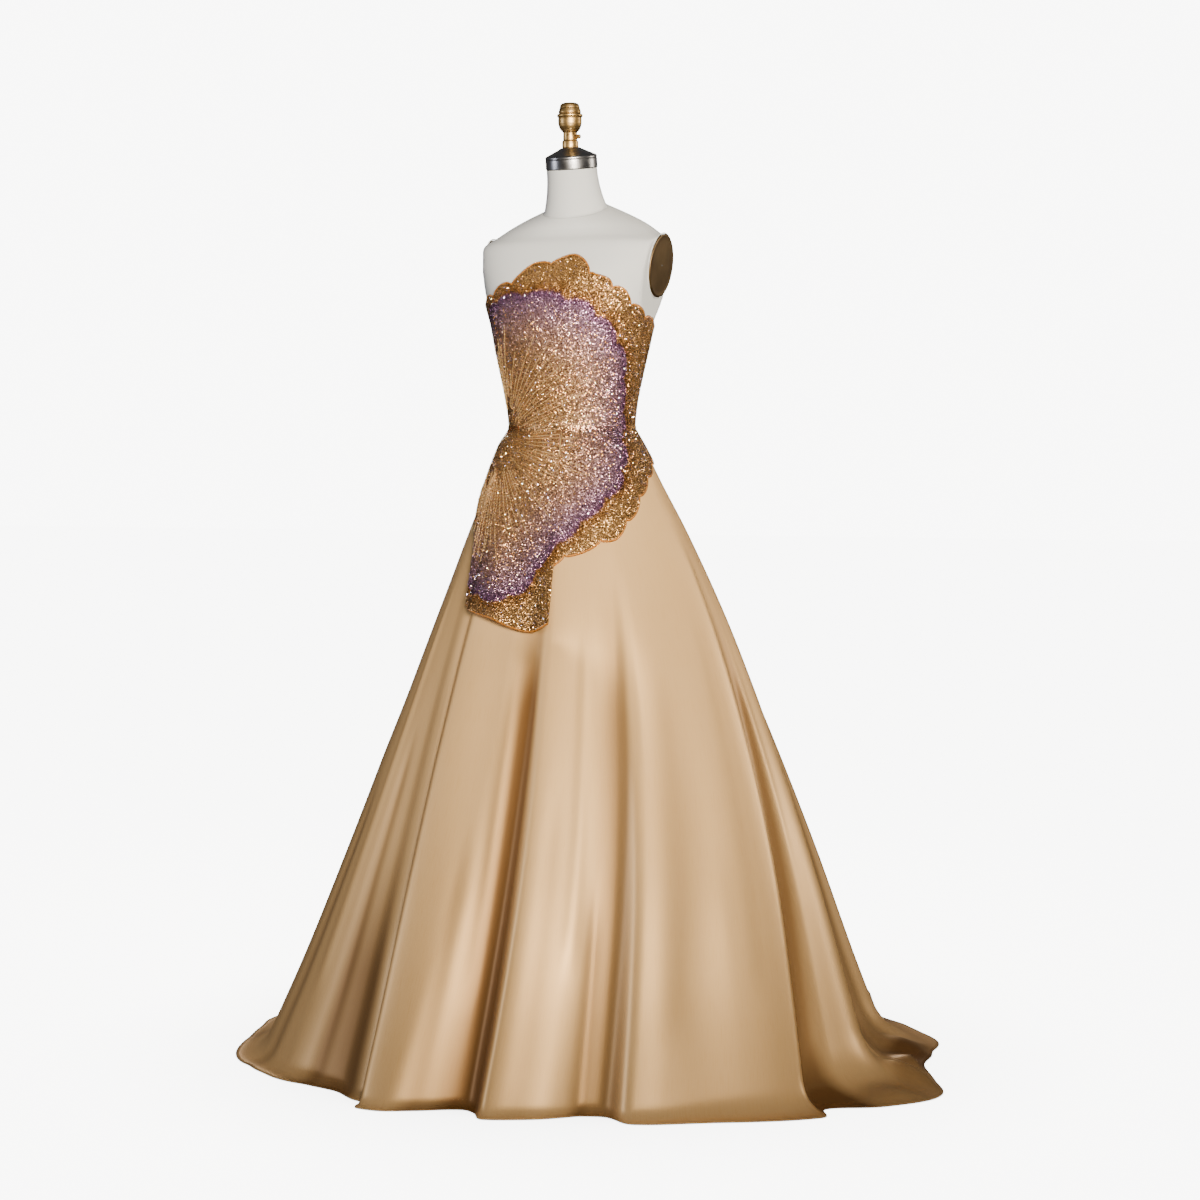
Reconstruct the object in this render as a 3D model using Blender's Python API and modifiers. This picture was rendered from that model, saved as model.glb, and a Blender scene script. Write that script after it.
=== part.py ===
"""A strapless a-line evening gown on a limbless dress form.

The gown is a beaded bodice, a scalloped hip overlay, a hanging front panel and a flared satin
skirt with a short train. Metres, +Z up. The front faces -Y and the figure's left is +X.
The origin lies on the floor, on the axis of the form's pole.
"""

import math
from collections import namedtuple

import bmesh
import bpy
import numpy as np

# Heights of the form and the gown
WAIST_HEIGHT = 1.18
POLE_TOP = 0.8947
NECK_BASE_HEIGHT = 1.5983
NECK_TOP_HEIGHT = 1.674

# Cloth and the gaps between layers
SATIN_WALL = 0.0015
BEADED_WALL = 0.002
SEAM_GAP = 0.0003
EASE = 0.0004
BUST_EASE = 0.0021
EASE_CHANGES_OVER = 0.08
LAYER_GAP = 0.0014
WAIST_SEAM_DROP = 0.0022

# Scalloped edges, which repeat round the figure
SCALLOP_PITCH = 20.0
SCALLOP_DEPTH = 0.013
OVERLAY_SCALLOP_PITCH = 13.0
OVERLAY_SCALLOP_DEPTH = 0.012

# The form's fittings
ARM_CUT = 0.1700
ARM_CUT_HEIGHT = 1.488
ARM_CUT_TILT = 8.0
ARM_CUT_CENTRE = 0.030
ARM_PLATE_HALF_HEIGHT = 0.060
ARM_PLATE_HALF_DEPTH = 0.054
ARM_PLATE_THICKNESS = 0.004
# The plate's rings: share of its thickness out from the form, and share of its full size
ARM_PLATE_RINGS = [(0.0, 1.0), (0.6, 1.0), (1.0, 0.96)]
NECK_LEAN = 9.0
FINIAL_LEAN = 2.0
CAP_RADIUS = 0.0495
CAP_BAND = 0.025
CAP_CROWN = 0.040
NECK_UNDER_CAP = 0.0015
NECK_FLARE_WIDE = 0.0130
NECK_FLARE_DEEP = 0.0065
FINIAL_SEAT = 0.0145
SCREW_LENGTH = 0.0080
SCREW_THICK_RADIUS = 0.0042
SCREW_THIN_RADIUS = 0.0036
SCREW_HEIGHT = 0.0200
STEM_RADIUS = 0.0140
POLE_RADIUS = 0.016
FLANGE_RADIUS = 0.060
FLANGE_THICKNESS = 0.006
FOOT_RADIUS = 0.190
FOOT_HEIGHT = 0.032

# Numbers of facets, and the form's extra sections where its curve is strongest
TORSO_COLUMNS = 40
EXTRA_SECTIONS = [1.200, 1.355, 1.400, 1.440, 1.480]
ROUND_STEPS = 24
NECK_RINGS = 6
SKIRT_ROWS = 12
SKIRT_FRONT_COLUMNS = 90
SKIRT_BACK_COLUMNS = 34
BODICE_FRONT_COLUMNS = 46
BODICE_FRONT_ROWS = 10
BODICE_BACK_COLUMNS = 18
BODICE_BACK_ROWS = 7
OVERLAY_COLUMNS = 42
OVERLAY_ROWS = 7
PANEL_COLUMNS = 15
PANEL_ROWS = 13
MEASURING_STEPS = 721
SIDE_SEAM = 90.0
CENTRE_BACK = 180.0
WHOLE_TURN = 360.0

# An edge sharper than this is shaded as one, and points nearer than this on a turned body are one
SHARP_ANGLE = 40.0
MERGE_DISTANCE = 0.0001

# One level section of the form: half its width, its depth to the front and to the back, how far its
# middle lies behind the axis, how square its corners are (2 is an ellipse) and how far its plane
# rises to the back, per metre
Ring = namedtuple("Ring", "height half_width front back centre power slope")
TORSO = [
    Ring(0.895, 0.166, 0.100, 0.122, 0.0, 2.0, 0.0),
    Ring(0.912, 0.176, 0.111, 0.132, 0.0, 2.0, 0.0),
    Ring(0.970, 0.178, 0.115, 0.136, 0.0, 2.0, 0.0),
    Ring(1.030, 0.167, 0.111, 0.128, 0.0, 2.0, 0.0),
    Ring(1.090, 0.146, 0.102, 0.110, 0.0, 2.0, 0.0),
    Ring(1.140, 0.127, 0.093, 0.094, 0.0, 2.0, 0.0),
    Ring(1.180, 0.1205, 0.090, 0.088, 0.0, 2.0, 0.0),
    Ring(1.220, 0.124, 0.095, 0.090, 0.0, 2.0, 0.0),
    Ring(1.270, 0.133, 0.107, 0.094, 0.002, 2.05, 0.0),
    Ring(1.330, 0.146, 0.124, 0.099, 0.005, 2.1, 0.0),
    Ring(1.380, 0.156, 0.134, 0.101, 0.010, 2.2, 0.0),
    Ring(1.420, 0.170, 0.137, 0.098, 0.018, 2.3, 0.0),
    Ring(1.460, 0.182, 0.128, 0.092, 0.025, 2.5, 0.0),
    Ring(1.500, 0.191, 0.113, 0.084, 0.030, 2.7, 0.0),
    Ring(1.532, 0.188, 0.098, 0.076, 0.032, 2.7, 0.0),
    Ring(1.550, 0.165, 0.086, 0.072, 0.030, 2.4, 0.08),
    Ring(1.570, 0.134, 0.076, 0.070, 0.026, 2.1, 0.20),
    Ring(1.588, 0.092, 0.066, 0.063, 0.020, 2.0, 0.30),
    Ring(1.598, 0.063, 0.057, 0.056, 0.016, 2.0, 0.36),
]

# The bodice's top edge, before its scallops: angle round the figure from the front towards its left
Edge = namedtuple("Edge", "angle height")
NECKLINE = [
    Edge(-180, 1.358),
    Edge(-125, 1.368),
    Edge(-90, 1.392),
    Edge(-65, 1.408),
    Edge(-43, 1.424),
    Edge(-26, 1.443),
    Edge(-14, 1.458),
    Edge(-4, 1.482),
    Edge(8, 1.492),
    Edge(16, 1.477),
    Edge(25, 1.455),
    Edge(36, 1.444),
    Edge(50, 1.424),
    Edge(66, 1.398),
    Edge(85, 1.380),
    Edge(115, 1.364),
    Edge(150, 1.358),
    Edge(180, 1.358),
]
SCALLOPS_END = 118.0

# The overlay's lower edge
OVERLAY_EDGE = [
    Edge(0, 0.925),
    Edge(12, 0.923),
    Edge(20, 0.932),
    Edge(30, 0.958),
    Edge(44, 0.986),
    Edge(58, 1.032),
    Edge(70, 1.072),
    Edge(90, 1.116),
    Edge(110, 1.138),
    Edge(130, 1.165),
]
OVERLAY_START = 14.3
OVERLAY_UNDER_PANEL = 13.0
OVERLAY_DIVES_BELOW = 1.135
OVERLAY_DIVE_HEIGHT = 0.06
OVERLAY_DIVE_WIDTH = 30.0

# The front panel's left side, as the wearer's right edge moves to the front going down
Side = namedtuple("Side", "height angle")
PANEL_SIDE = [
    Side(0.780, -22.0),
    Side(0.846, -28.0),
    Side(0.916, -34.5),
    Side(0.974, -44.0),
    Side(1.010, -53.5),
    Side(1.090, -80.0),
    Side(1.180, -98.0),
]
PANEL_RIGHT_ANGLE = 13.5

# The front panel's hem, from its left side to its right
Drop = namedtuple("Drop", "across height")
PANEL_HEM = [
    Drop(0.0, 0.848),
    Drop(0.28, 0.830),
    Drop(0.55, 0.813),
    Drop(0.75, 0.806),
    Drop(0.90, 0.811),
    Drop(1.0, 0.821),
]
PANEL_LIFT = 0.0034
PANEL_LIFTS_OVER = 0.035
PANEL_STANDS_OFF = 0.006
PANEL_LOOSE_BELOW = 1.0
PANEL_LOOSENS_OVER = 0.16

# The skirt's spread: share of the height below the waist, share of the way out to the foot, and how
# far the section is swung to the figure's left
Spread = namedtuple("Spread", "down out swing")
SKIRT_SPREAD = [
    Spread(0.0, 0.0, 0.0),
    Spread(0.026, 0.037, 0.001),
    Spread(0.090, 0.109, 0.006),
    Spread(0.153, 0.183, 0.011),
    Spread(0.284, 0.322, 0.018),
    Spread(0.480, 0.510, 0.021),
    Spread(0.675, 0.690, 0.018),
    Spread(0.870, 0.868, 0.008),
    Spread(1.0, 1.0, 0.0),
    Spread(1.4, 1.4, 0.0),
]

# The hem on the floor: how far it is from the axis, and how much of that lies flat
Hem = namedtuple("Hem", "angle radius lying")
HEM = [
    Hem(-90, 0.615, 0.030),
    Hem(-76, 0.622, 0.040),
    Hem(-64, 0.632, 0.050),
    Hem(-40, 0.624, 0.030),
    Hem(-18, 0.608, 0.016),
    Hem(5, 0.602, 0.014),
    Hem(25, 0.604, 0.014),
    Hem(45, 0.662, 0.030),
    Hem(60, 0.705, 0.060),
    Hem(70, 0.750, 0.110),
    Hem(82, 0.765, 0.140),
    Hem(92, 0.720, 0.120),
    Hem(104, 0.698, 0.110),
    Hem(120, 0.678, 0.095),
    Hem(140, 0.695, 0.120),
    Hem(158, 0.800, 0.210),
    Hem(178, 0.915, 0.320),
    Hem(198, 0.890, 0.300),
    Hem(218, 0.780, 0.190),
    Hem(240, 0.665, 0.080),
    Hem(270, 0.615, 0.030),
]
FLOOR_RUN = 1.27
MOST_BEND = 0.10
BEND_SHARE = 0.9

# The flutes: a ridge has a depth above 0 and a trough below. Each runs from its angle at the top to
# its angle at the hem, falls off over its two widths and leans its crest over, all in degrees
Flute = namedtuple("Flute", "top hem before after depth start lean")
FLUTES = [
    Flute(-62, -52, 15, 15, 0.014, 0.90, 0.0),
    Flute(-42, -22, 16, 9, -0.026, 1.00, 0.0),
    Flute(-24, -7, 6.5, 15, 0.042, 1.05, -3.0),
    Flute(7, 5.5, 10, 5, -0.032, 1.00, 0.0),
    Flute(15, 13, 5, 13, 0.026, 1.00, -2.0),
    Flute(39, 29.5, 10, 4.5, -0.022, 0.98, 0.0),
    Flute(47, 36, 5.5, 14, 0.020, 0.96, -1.5),
    Flute(80, 58, 18, 6.5, 0.040, 1.00, 2.0),
    Flute(88, 65, 6, 6, -0.026, 0.96, 0.0),
    Flute(101, 77, 9, 12, 0.028, 0.94, 1.5),
    Flute(118, 97, 9, 9, -0.018, 0.86, 0.0),
    Flute(128, 113, 9, 12, 0.024, 0.90, 0.0),
    Flute(146, 134, 10, 10, -0.024, 0.86, 0.0),
    Flute(158, 152, 10, 13, 0.034, 0.96, 1.5),
    Flute(178, 175, 10, 12, -0.030, 0.90, 0.0),
    Flute(196, 194, 12, 10, 0.036, 0.98, -1.5),
    Flute(212, 214, 10, 12, -0.028, 0.88, 0.0),
    Flute(228, 234, 11, 10, 0.030, 0.94, 0.0),
    Flute(248, 255, 10, 11, -0.022, 0.86, 0.0),
    Flute(264, 276, 11, 10, 0.020, 0.90, 0.0),
]
FLUTE_GROWTH = 0.95
FLUTES_TURN_BELOW = 1.0

# The short steps, in degrees and as a share of the height, that the skirt's normals are measured over
STEP_ROUND = 0.4
STEP_DOWN = 0.004

# Colours, roughness and metal of each finish
Finish = namedtuple("Finish", "red green blue roughness metallic")
FINISHES = {
    "gold_satin": Finish(0.71, 0.56, 0.36, 0.35, 0.0),
    "gold_beadwork": Finish(0.55, 0.34, 0.13, 0.35, 0.4),
    "form_cloth": Finish(0.62, 0.62, 0.58, 0.85, 0.0),
    "brushed_steel": Finish(0.32, 0.32, 0.32, 0.3, 1.0),
    "turned_brass": Finish(0.52, 0.36, 0.15, 0.35, 1.0),
    "antique_brass": Finish(0.22, 0.14, 0.07, 0.4, 1.0),
    "black_iron": Finish(0.03, 0.03, 0.03, 0.5, 0.6),
}


def clear_scene():
    for item in list(bpy.data.objects):
        bpy.data.objects.remove(item, do_unlink=True)


def finish(name):
    """The material of that name, made once."""
    found = bpy.data.materials.get(name)
    if found:
        return found
    look = FINISHES[name]
    made = bpy.data.materials.new(name)
    made.use_nodes = True
    shader = made.node_tree.nodes["Principled BSDF"]
    shader.inputs["Base Color"].default_value = (look.red, look.green, look.blue, 1.0)
    shader.inputs["Roughness"].default_value = look.roughness
    shader.inputs["Metallic"].default_value = look.metallic
    return made


def add_object(name, mesh, look, collection):
    item = bpy.data.objects.new(name, mesh)
    mesh.materials.append(finish(look))
    mesh.shade_smooth()
    collection.objects.link(item)
    return item


def smooth_curve(places, values, at):
    """A cubic through the given points, whose slope at each is that of its neighbours' chord."""
    places = np.asarray(places, float)
    values = np.asarray(values, float)
    slopes = np.gradient(values, places)
    at = np.clip(at, places[0], places[-1])
    left = np.clip(np.searchsorted(places, at, side="right") - 1, 0, len(places) - 2)
    run = places[left + 1] - places[left]
    share = (at - places[left]) / run
    rise = values[left + 1] - values[left]
    first = run * slopes[left] - rise
    last = rise - run * slopes[left + 1]
    bulge = share * (1 - share) * ((1 - share) * first + share * last)
    return values[left] + share * rise + bulge


def column(table, name):
    return [getattr(row, name) for row in table]


def smooth_step(share):
    share = np.clip(share, 0.0, 1.0)
    return share * share * (3 - 2 * share)


def soft_positive(value, bend):
    """The value where it is above the bend, 0 where it is below minus the bend, and a parabola between."""
    middle = (value + bend) ** 2 / (4 * bend)
    return np.where(value >= bend, value, np.where(value <= -bend, 0.0, middle))


def arm_cut(height):
    """How far from the middle the form is cut flat for its arm plates."""
    return ARM_CUT + (height - ARM_CUT_HEIGHT) * math.tan(math.radians(ARM_CUT_TILT))


def body_point(angle, height, away):
    """A point of the form's section at that height, moved out by that much."""
    heights = column(TORSO, "height")
    half_width = smooth_curve(heights, column(TORSO, "half_width"), height) + away
    front = smooth_curve(heights, column(TORSO, "front"), height) + away
    back = smooth_curve(heights, column(TORSO, "back"), height) + away
    power = smooth_curve(heights, column(TORSO, "power"), height)
    slope = smooth_curve(heights, column(TORSO, "slope"), height)
    centre = smooth_curve(heights, column(TORSO, "centre"), height)
    sine = np.sin(np.radians(angle))
    cosine = np.cos(np.radians(angle))
    x = half_width * np.sign(sine) * np.abs(sine) ** (2 / power)
    depth = np.where(cosine > 0, front, back)
    y = -depth * np.sign(cosine) * np.abs(cosine) ** (2 / power)
    limit = arm_cut(height) + away
    x = np.clip(x, -limit, limit)
    return np.stack([x, y + centre, height + slope * y], axis=-1)


def scallop(angle, pitch, depth):
    """Round lobes along an edge, with a cusp between each two."""
    return depth * np.sqrt(np.abs(np.sin(math.pi * angle / pitch)))


def neckline(angle):
    height = smooth_curve(column(NECKLINE, "angle"), column(NECKLINE, "height"), angle)
    fade = 1 - smooth_step((np.abs(angle) - SCALLOPS_END + SCALLOP_PITCH) / SCALLOP_PITCH)
    return height + fade * scallop(angle, SCALLOP_PITCH, SCALLOP_DEPTH)


def waist_ring():
    return TORSO[column(TORSO, "height").index(WAIST_HEIGHT)]


def waist_radius(angle, away):
    """How far the form's waist is from the axis, in that direction."""
    ring = waist_ring()
    sine = np.sin(np.radians(angle))
    cosine = np.cos(np.radians(angle))
    depth = np.where(cosine > 0, ring.front, ring.back) + away
    width = ring.half_width + away
    return 1 / np.sqrt((sine / width) ** 2 + (cosine / depth) ** 2)


def bump(angle, flute, middle):
    """1 at the flute's crest, falling to 0 over its two widths."""
    width = np.where(angle < middle, flute.before, flute.after)
    return 0.5 + 0.5 * np.cos(math.pi * np.clip((angle - middle) / width, -1.0, 1.0))


def turned_share(height):
    """How much of its turn, from its angle at the top to that at the hem, a flute has made."""
    share = (FLUTES_TURN_BELOW - height) / FLUTES_TURN_BELOW
    return np.clip(share, 0.0, 1.0) ** FLUTE_GROWTH


def wrap(angle):
    """The same direction within the turn that the hem's table covers."""
    return np.mod(np.asarray(angle, float) + SIDE_SEAM, WHOLE_TURN) - SIDE_SEAM


def skirt_point(angle, down):
    """A point of the skirt's inner face. Down is 0 at the waist, 1 at the foot, and more on the floor."""
    angle, down = np.broadcast_arrays(np.asarray(angle, float), np.asarray(down, float))
    wrapped = wrap(angle)
    hem = smooth_curve(column(HEM, "angle"), column(HEM, "radius"), wrapped)
    lying = smooth_curve(column(HEM, "angle"), column(HEM, "lying"), wrapped)
    foot = hem - lying
    waist = waist_radius(angle, EASE)
    spread = smooth_curve(column(SKIRT_SPREAD, "down"), column(SKIRT_SPREAD, "out"), down)
    bend = np.minimum(BEND_SHARE * lying, MOST_BEND)
    line = WAIST_HEIGHT * (1 - down)
    run_out = (FLOOR_RUN - (foot - waist)) / WAIST_HEIGHT
    radius = waist + (foot - waist) * spread + run_out * soft_positive(-line, bend)
    height = soft_positive(line, bend)
    lean = np.zeros_like(radius)
    for flute in FLUTES:
        grown = np.clip((flute.start - height) / flute.start, 0.0, 1.0) ** FLUTE_GROWTH
        middle = flute.top + (flute.hem - flute.top) * turned_share(height)
        for turn in (-WHOLE_TURN, 0.0, WHOLE_TURN):
            shape = bump(wrapped + turn, flute, middle)
            radius = radius + flute.depth * grown * shape
            lean = lean + flute.lean * grown * shape
    facing = np.radians(angle + lean)
    swing = smooth_curve(column(SKIRT_SPREAD, "down"), column(SKIRT_SPREAD, "swing"), down)
    x = radius * np.sin(facing) + swing
    return np.stack([x, -radius * np.cos(facing), height], axis=-1)


def last_down(angle):
    """The value of down at the hem."""
    return 1 + smooth_curve(column(HEM, "angle"), column(HEM, "lying"), wrap(angle)) / FLOOR_RUN


def outward(angle, down):
    """The skirt's unit normal, from two short steps along its surface."""
    across = skirt_point(angle + STEP_ROUND, down) - skirt_point(angle - STEP_ROUND, down)
    along = skirt_point(angle, down + STEP_DOWN) - skirt_point(angle, down - STEP_DOWN)
    normal = np.cross(along, across)
    return normal / np.linalg.norm(normal, axis=-1, keepdims=True)


def over_skirt(angle, height, away):
    """A point that far outside the skirt's inner face, for what lies on the skirt."""
    down = 1 - np.asarray(height, float) / WAIST_HEIGHT
    return skirt_point(angle, down) + outward(angle, down) * np.asarray(away)[..., None]


def sheet_object(name, points, wall, look, collection):
    """A cloth wall: a grid of points for its inner face, columns by rows going down, and a Solidify."""
    columns, rows = points.shape[:2]
    at = np.arange(columns * rows).reshape(columns, rows)
    corners = (at[:-1, :-1], at[:-1, 1:], at[1:, 1:], at[1:, :-1])
    faces = np.stack(corners, axis=-1).reshape(-1, 4)
    mesh = bpy.data.meshes.new(name)
    mesh.from_pydata(points.reshape(-1, 3).tolist(), [], faces.tolist())
    item = add_object(name, mesh, look, collection)
    thicken = item.modifiers.new("wall", "SOLIDIFY")
    thicken.thickness = wall
    thicken.offset = 1.0
    thicken.use_even_offset = True
    return item


def closed_loft(name, rings, look, collection):
    """A closed body through rings of equal counts, from the lowest to the highest, with flat ends."""
    count, steps = rings.shape[:2]
    at = np.arange(count * steps).reshape(count, steps)
    following = np.roll(at, -1, axis=1)
    corners = (at[:-1], following[:-1], following[1:], at[1:])
    faces = np.stack(corners, axis=-1).reshape(-1, 4).tolist()
    faces.append(at[0][::-1].tolist())
    faces.append(at[-1].tolist())
    mesh = bpy.data.meshes.new(name)
    mesh.from_pydata(rings.reshape(-1, 3).tolist(), [], faces)
    mesh.set_sharp_from_angle(angle=math.radians(SHARP_ANGLE))
    return add_object(name, mesh, look, collection)


def turned(name, profile, look, collection):
    """A body turned about Z: (radius, height) pairs down its outer side, from the top to the bottom."""
    mesh = bpy.data.meshes.new(name)
    mesh.from_pydata([(radius, 0.0, height) for radius, height in profile], [], [])
    mesh.edges.add(len(profile) - 1)
    for index, edge in enumerate(mesh.edges):
        edge.vertices = (index, index + 1)
    item = add_object(name, mesh, look, collection)
    spin = item.modifiers.new("turn", "SCREW")
    spin.steps = ROUND_STEPS
    spin.render_steps = ROUND_STEPS
    spin.use_merge_vertices = True
    spin.merge_threshold = MERGE_DISTANCE
    return item


def panel_angles(start, end, count):
    """Column angles from one seam to the other, as far apart along the hem as each other."""
    fine = np.linspace(start, end, MEASURING_STEPS)
    hem = skirt_point(fine, last_down(fine))
    steps = np.linalg.norm(np.diff(hem, axis=0), axis=1)
    run = np.concatenate([[0.0], np.cumsum(steps)])
    return np.interp(np.linspace(0.0, run[-1], count), run, fine)


def along_flutes(hem_angles, down):
    """The angles that columns have on their way up, so that they run along the flutes beside them."""
    hems, tops = column(FLUTES, "hem"), column(FLUTES, "top")
    turns = np.subtract(tops, hems)
    places = np.concatenate([np.subtract(hems, WHOLE_TURN), hems, np.add(hems, WHOLE_TURN)])
    turn = smooth_curve(places, np.tile(turns, 3), hem_angles)
    height = np.maximum(WAIST_HEIGHT * (1 - down), 0.0)
    return hem_angles + turn * (1 - turned_share(height))


def skirt_panel(name, start, end, count, collection):
    """A skirt panel between two seams, which stays half a seam's gap inside each."""
    angles = panel_angles(start, end, count)[:, None]
    rows = 0.5 - 0.5 * np.cos(np.linspace(0.0, math.pi, SKIRT_ROWS))
    down = last_down(angles) * rows[None, :]
    angle = along_flutes(angles, down)
    for side, sign in ((0, 1), (-1, -1)):
        edge = skirt_point(angle[side], down[side])
        radius = np.linalg.norm(edge[:, :2], axis=1)
        angle[side] += sign * np.degrees(0.5 * SEAM_GAP / radius)
    return sheet_object(name, skirt_point(angle, down), SATIN_WALL, "gold_satin", collection)


def bodice_panel(name, start, end, count, rows, collection):
    """A bodice panel from the neckline to the waist, close to the form, flush with the overlay below."""
    half_gap = math.degrees(0.5 * SEAM_GAP / waist_ring().front)
    angles = np.linspace(start + half_gap, end - half_gap, count)[:, None]
    share = np.linspace(0.0, 1.0, rows)[None, :]
    top = neckline(angles)
    height = top + (WAIST_HEIGHT + SEAM_GAP - top) * share
    above = smooth_step((height - WAIST_HEIGHT) / EASE_CHANGES_OVER)
    away = EASE + (SATIN_WALL + LAYER_GAP) * (1 - above) + BUST_EASE * above
    angle = np.broadcast_to(angles, height.shape)
    points = body_point(angle, height, away)
    return sheet_object(name, points, BEADED_WALL, "gold_beadwork", collection)


def hip_overlay(collection):
    """The scalloped apron on the figure's left hip. Its front edge dives under the panel."""
    share = np.linspace(0.0, 1.0, OVERLAY_ROWS)[None, :]
    angles = np.linspace(OVERLAY_START, OVERLAY_EDGE[-1].angle, OVERLAY_COLUMNS)[:, None]
    places, heights = column(OVERLAY_EDGE, "angle"), column(OVERLAY_EDGE, "height")
    edge = smooth_curve(places, heights, angles)
    edge = edge - scallop(angles, OVERLAY_SCALLOP_PITCH, OVERLAY_SCALLOP_DEPTH)
    top = WAIST_HEIGHT - WAIST_SEAM_DROP
    height = top + (edge - top) * share
    dive = smooth_step((OVERLAY_DIVES_BELOW - height) / OVERLAY_DIVE_HEIGHT)
    nearness = np.clip(1 - (angles - OVERLAY_START) / OVERLAY_DIVE_WIDTH, 0, 1)
    angle = angles - OVERLAY_UNDER_PANEL * dive * nearness
    away = np.full(height.shape, SATIN_WALL + LAYER_GAP)
    points = over_skirt(angle, height, away)
    return sheet_object("hip_overlay", points, BEADED_WALL, "gold_beadwork", collection)


def front_panel(collection):
    """The hanging panel on the figure's right front, lifted clear of the overlay below the waist."""
    across = np.linspace(0.0, 1.0, PANEL_COLUMNS)[:, None]
    share = np.linspace(0.0, 1.0, PANEL_ROWS)[None, :]
    hem = smooth_curve(column(PANEL_HEM, "across"), column(PANEL_HEM, "height"), across)
    top = WAIST_HEIGHT - WAIST_SEAM_DROP
    height = top + (hem - top) * share
    left = smooth_curve(column(PANEL_SIDE, "height"), column(PANEL_SIDE, "angle"), height)
    angle = left + (PANEL_RIGHT_ANGLE - left) * across
    lift = PANEL_LIFT * smooth_step((top - height) / PANEL_LIFTS_OVER)
    loose = PANEL_STANDS_OFF * smooth_step((PANEL_LOOSE_BELOW - height) / PANEL_LOOSENS_OVER)
    points = over_skirt(angle, height, SATIN_WALL + LAYER_GAP + lift + loose)
    return sheet_object("front_panel", points, BEADED_WALL, "gold_beadwork", collection)


def form_torso(collection):
    """The padded torso, cut flat at both arms."""
    heights = np.concatenate([column(TORSO, "height"), EXTRA_SECTIONS])
    heights = np.sort(heights)[:, None]
    angles = np.arange(TORSO_COLUMNS)[None, :] * WHOLE_TURN / TORSO_COLUMNS
    angles, heights = np.broadcast_arrays(angles, heights)
    return closed_loft("form_torso", body_point(angles, heights, 0.0), "form_cloth", collection)


def neck_frame(share):
    """The neck's centre and slope at a share of the way from its seam to the cap."""
    base, top = TORSO[-1], math.tan(math.radians(NECK_LEAN))
    height = NECK_BASE_HEIGHT + (NECK_TOP_HEIGHT - NECK_BASE_HEIGHT) * share
    return base.centre * (1 - share), height, base.slope + (top - base.slope) * share


def form_neck(collection):
    """The covered neck, which leans forward to the cap."""
    angles = np.radians(np.arange(ROUND_STEPS) * WHOLE_TURN / ROUND_STEPS)
    rings = []
    for share in np.linspace(0.0, 1.0, NECK_RINGS):
        centre, height, slope = neck_frame(share)
        waisted = (1 - share) ** 2
        width = CAP_RADIUS - NECK_UNDER_CAP + NECK_FLARE_WIDE * waisted
        depth = CAP_RADIUS - NECK_UNDER_CAP + NECK_FLARE_DEEP * waisted
        x = width * np.sin(angles)
        y = -depth * np.cos(angles)
        z = height + slope * y
        rings.append(np.stack([x, y + centre, z], axis=-1))
    return closed_loft("form_neck", np.array(rings), "form_cloth", collection)


def on_neck(item, height, lean):
    """Stands a turned piece over the neck's top, leaning forward by that many degrees."""
    centre, top, _ = neck_frame(1.0)
    axis = math.radians(NECK_LEAN)
    item.rotation_euler.x = math.radians(lean)
    item.location = (0.0, centre - height * math.sin(axis), top + height * math.cos(axis))


def neck_cap(collection):
    """A steel band with a shallow cone on top."""
    profile = [
        (0.0, CAP_CROWN),
        (0.0170, CAP_CROWN),
        (0.0300, CAP_BAND + 0.0085),
        (0.0440, CAP_BAND + 0.0020),
        (0.0480, CAP_BAND),
        (CAP_RADIUS, CAP_BAND - 0.0020),
        (CAP_RADIUS, 0.0010),
        (CAP_RADIUS - 0.0010, 0.0),
        (0.0, 0.0),
    ]
    item = turned("neck_cap", profile, "brushed_steel", collection)
    on_neck(item, SEAM_GAP, NECK_LEAN)


def finial(collection):
    """The turned brass knob on the cap."""
    profile = [
        (0.0, 0.0820),
        (0.0110, 0.0815),
        (0.0160, 0.0798),
        (0.0180, 0.0770),
        (0.0215, 0.0640),
        (0.0205, 0.0615),
        (0.0245, 0.0590),
        (0.0245, 0.0555),
        (0.0225, 0.0530),
        (0.0225, 0.0430),
        (0.0190, 0.0320),
        (STEM_RADIUS, 0.0265),
        (0.0135, 0.0110),
        (0.0155, 0.0090),
        (0.0155, 0.0015),
        (FINIAL_SEAT, 0.0),
        (0.0, 0.0),
    ]
    item = turned("finial", profile, "turned_brass", collection)
    lifted = FINIAL_SEAT * math.sin(math.radians(NECK_LEAN)) + SEAM_GAP
    on_neck(item, CAP_CROWN + lifted, FINIAL_LEAN)


def cap_screw(collection):
    """The little thumb screw beside the finial's stem."""
    mesh = bpy.data.meshes.new("cap_screw")
    item = add_object("cap_screw", mesh, "turned_brass", collection)
    cage = bmesh.new()
    bmesh.ops.create_cone(
        cage,
        cap_ends=True,
        segments=ROUND_STEPS,
        radius1=SCREW_THICK_RADIUS,
        radius2=SCREW_THIN_RADIUS,
        depth=SCREW_LENGTH,
    )
    cage.to_mesh(mesh)
    cage.free()
    on_neck(item, CAP_CROWN + SCREW_HEIGHT, FINIAL_LEAN)
    item.rotation_euler = (0.0, math.radians(90), 0.0)
    item.location.x += STEM_RADIUS + SEAM_GAP + 0.5 * SCREW_LENGTH


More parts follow.
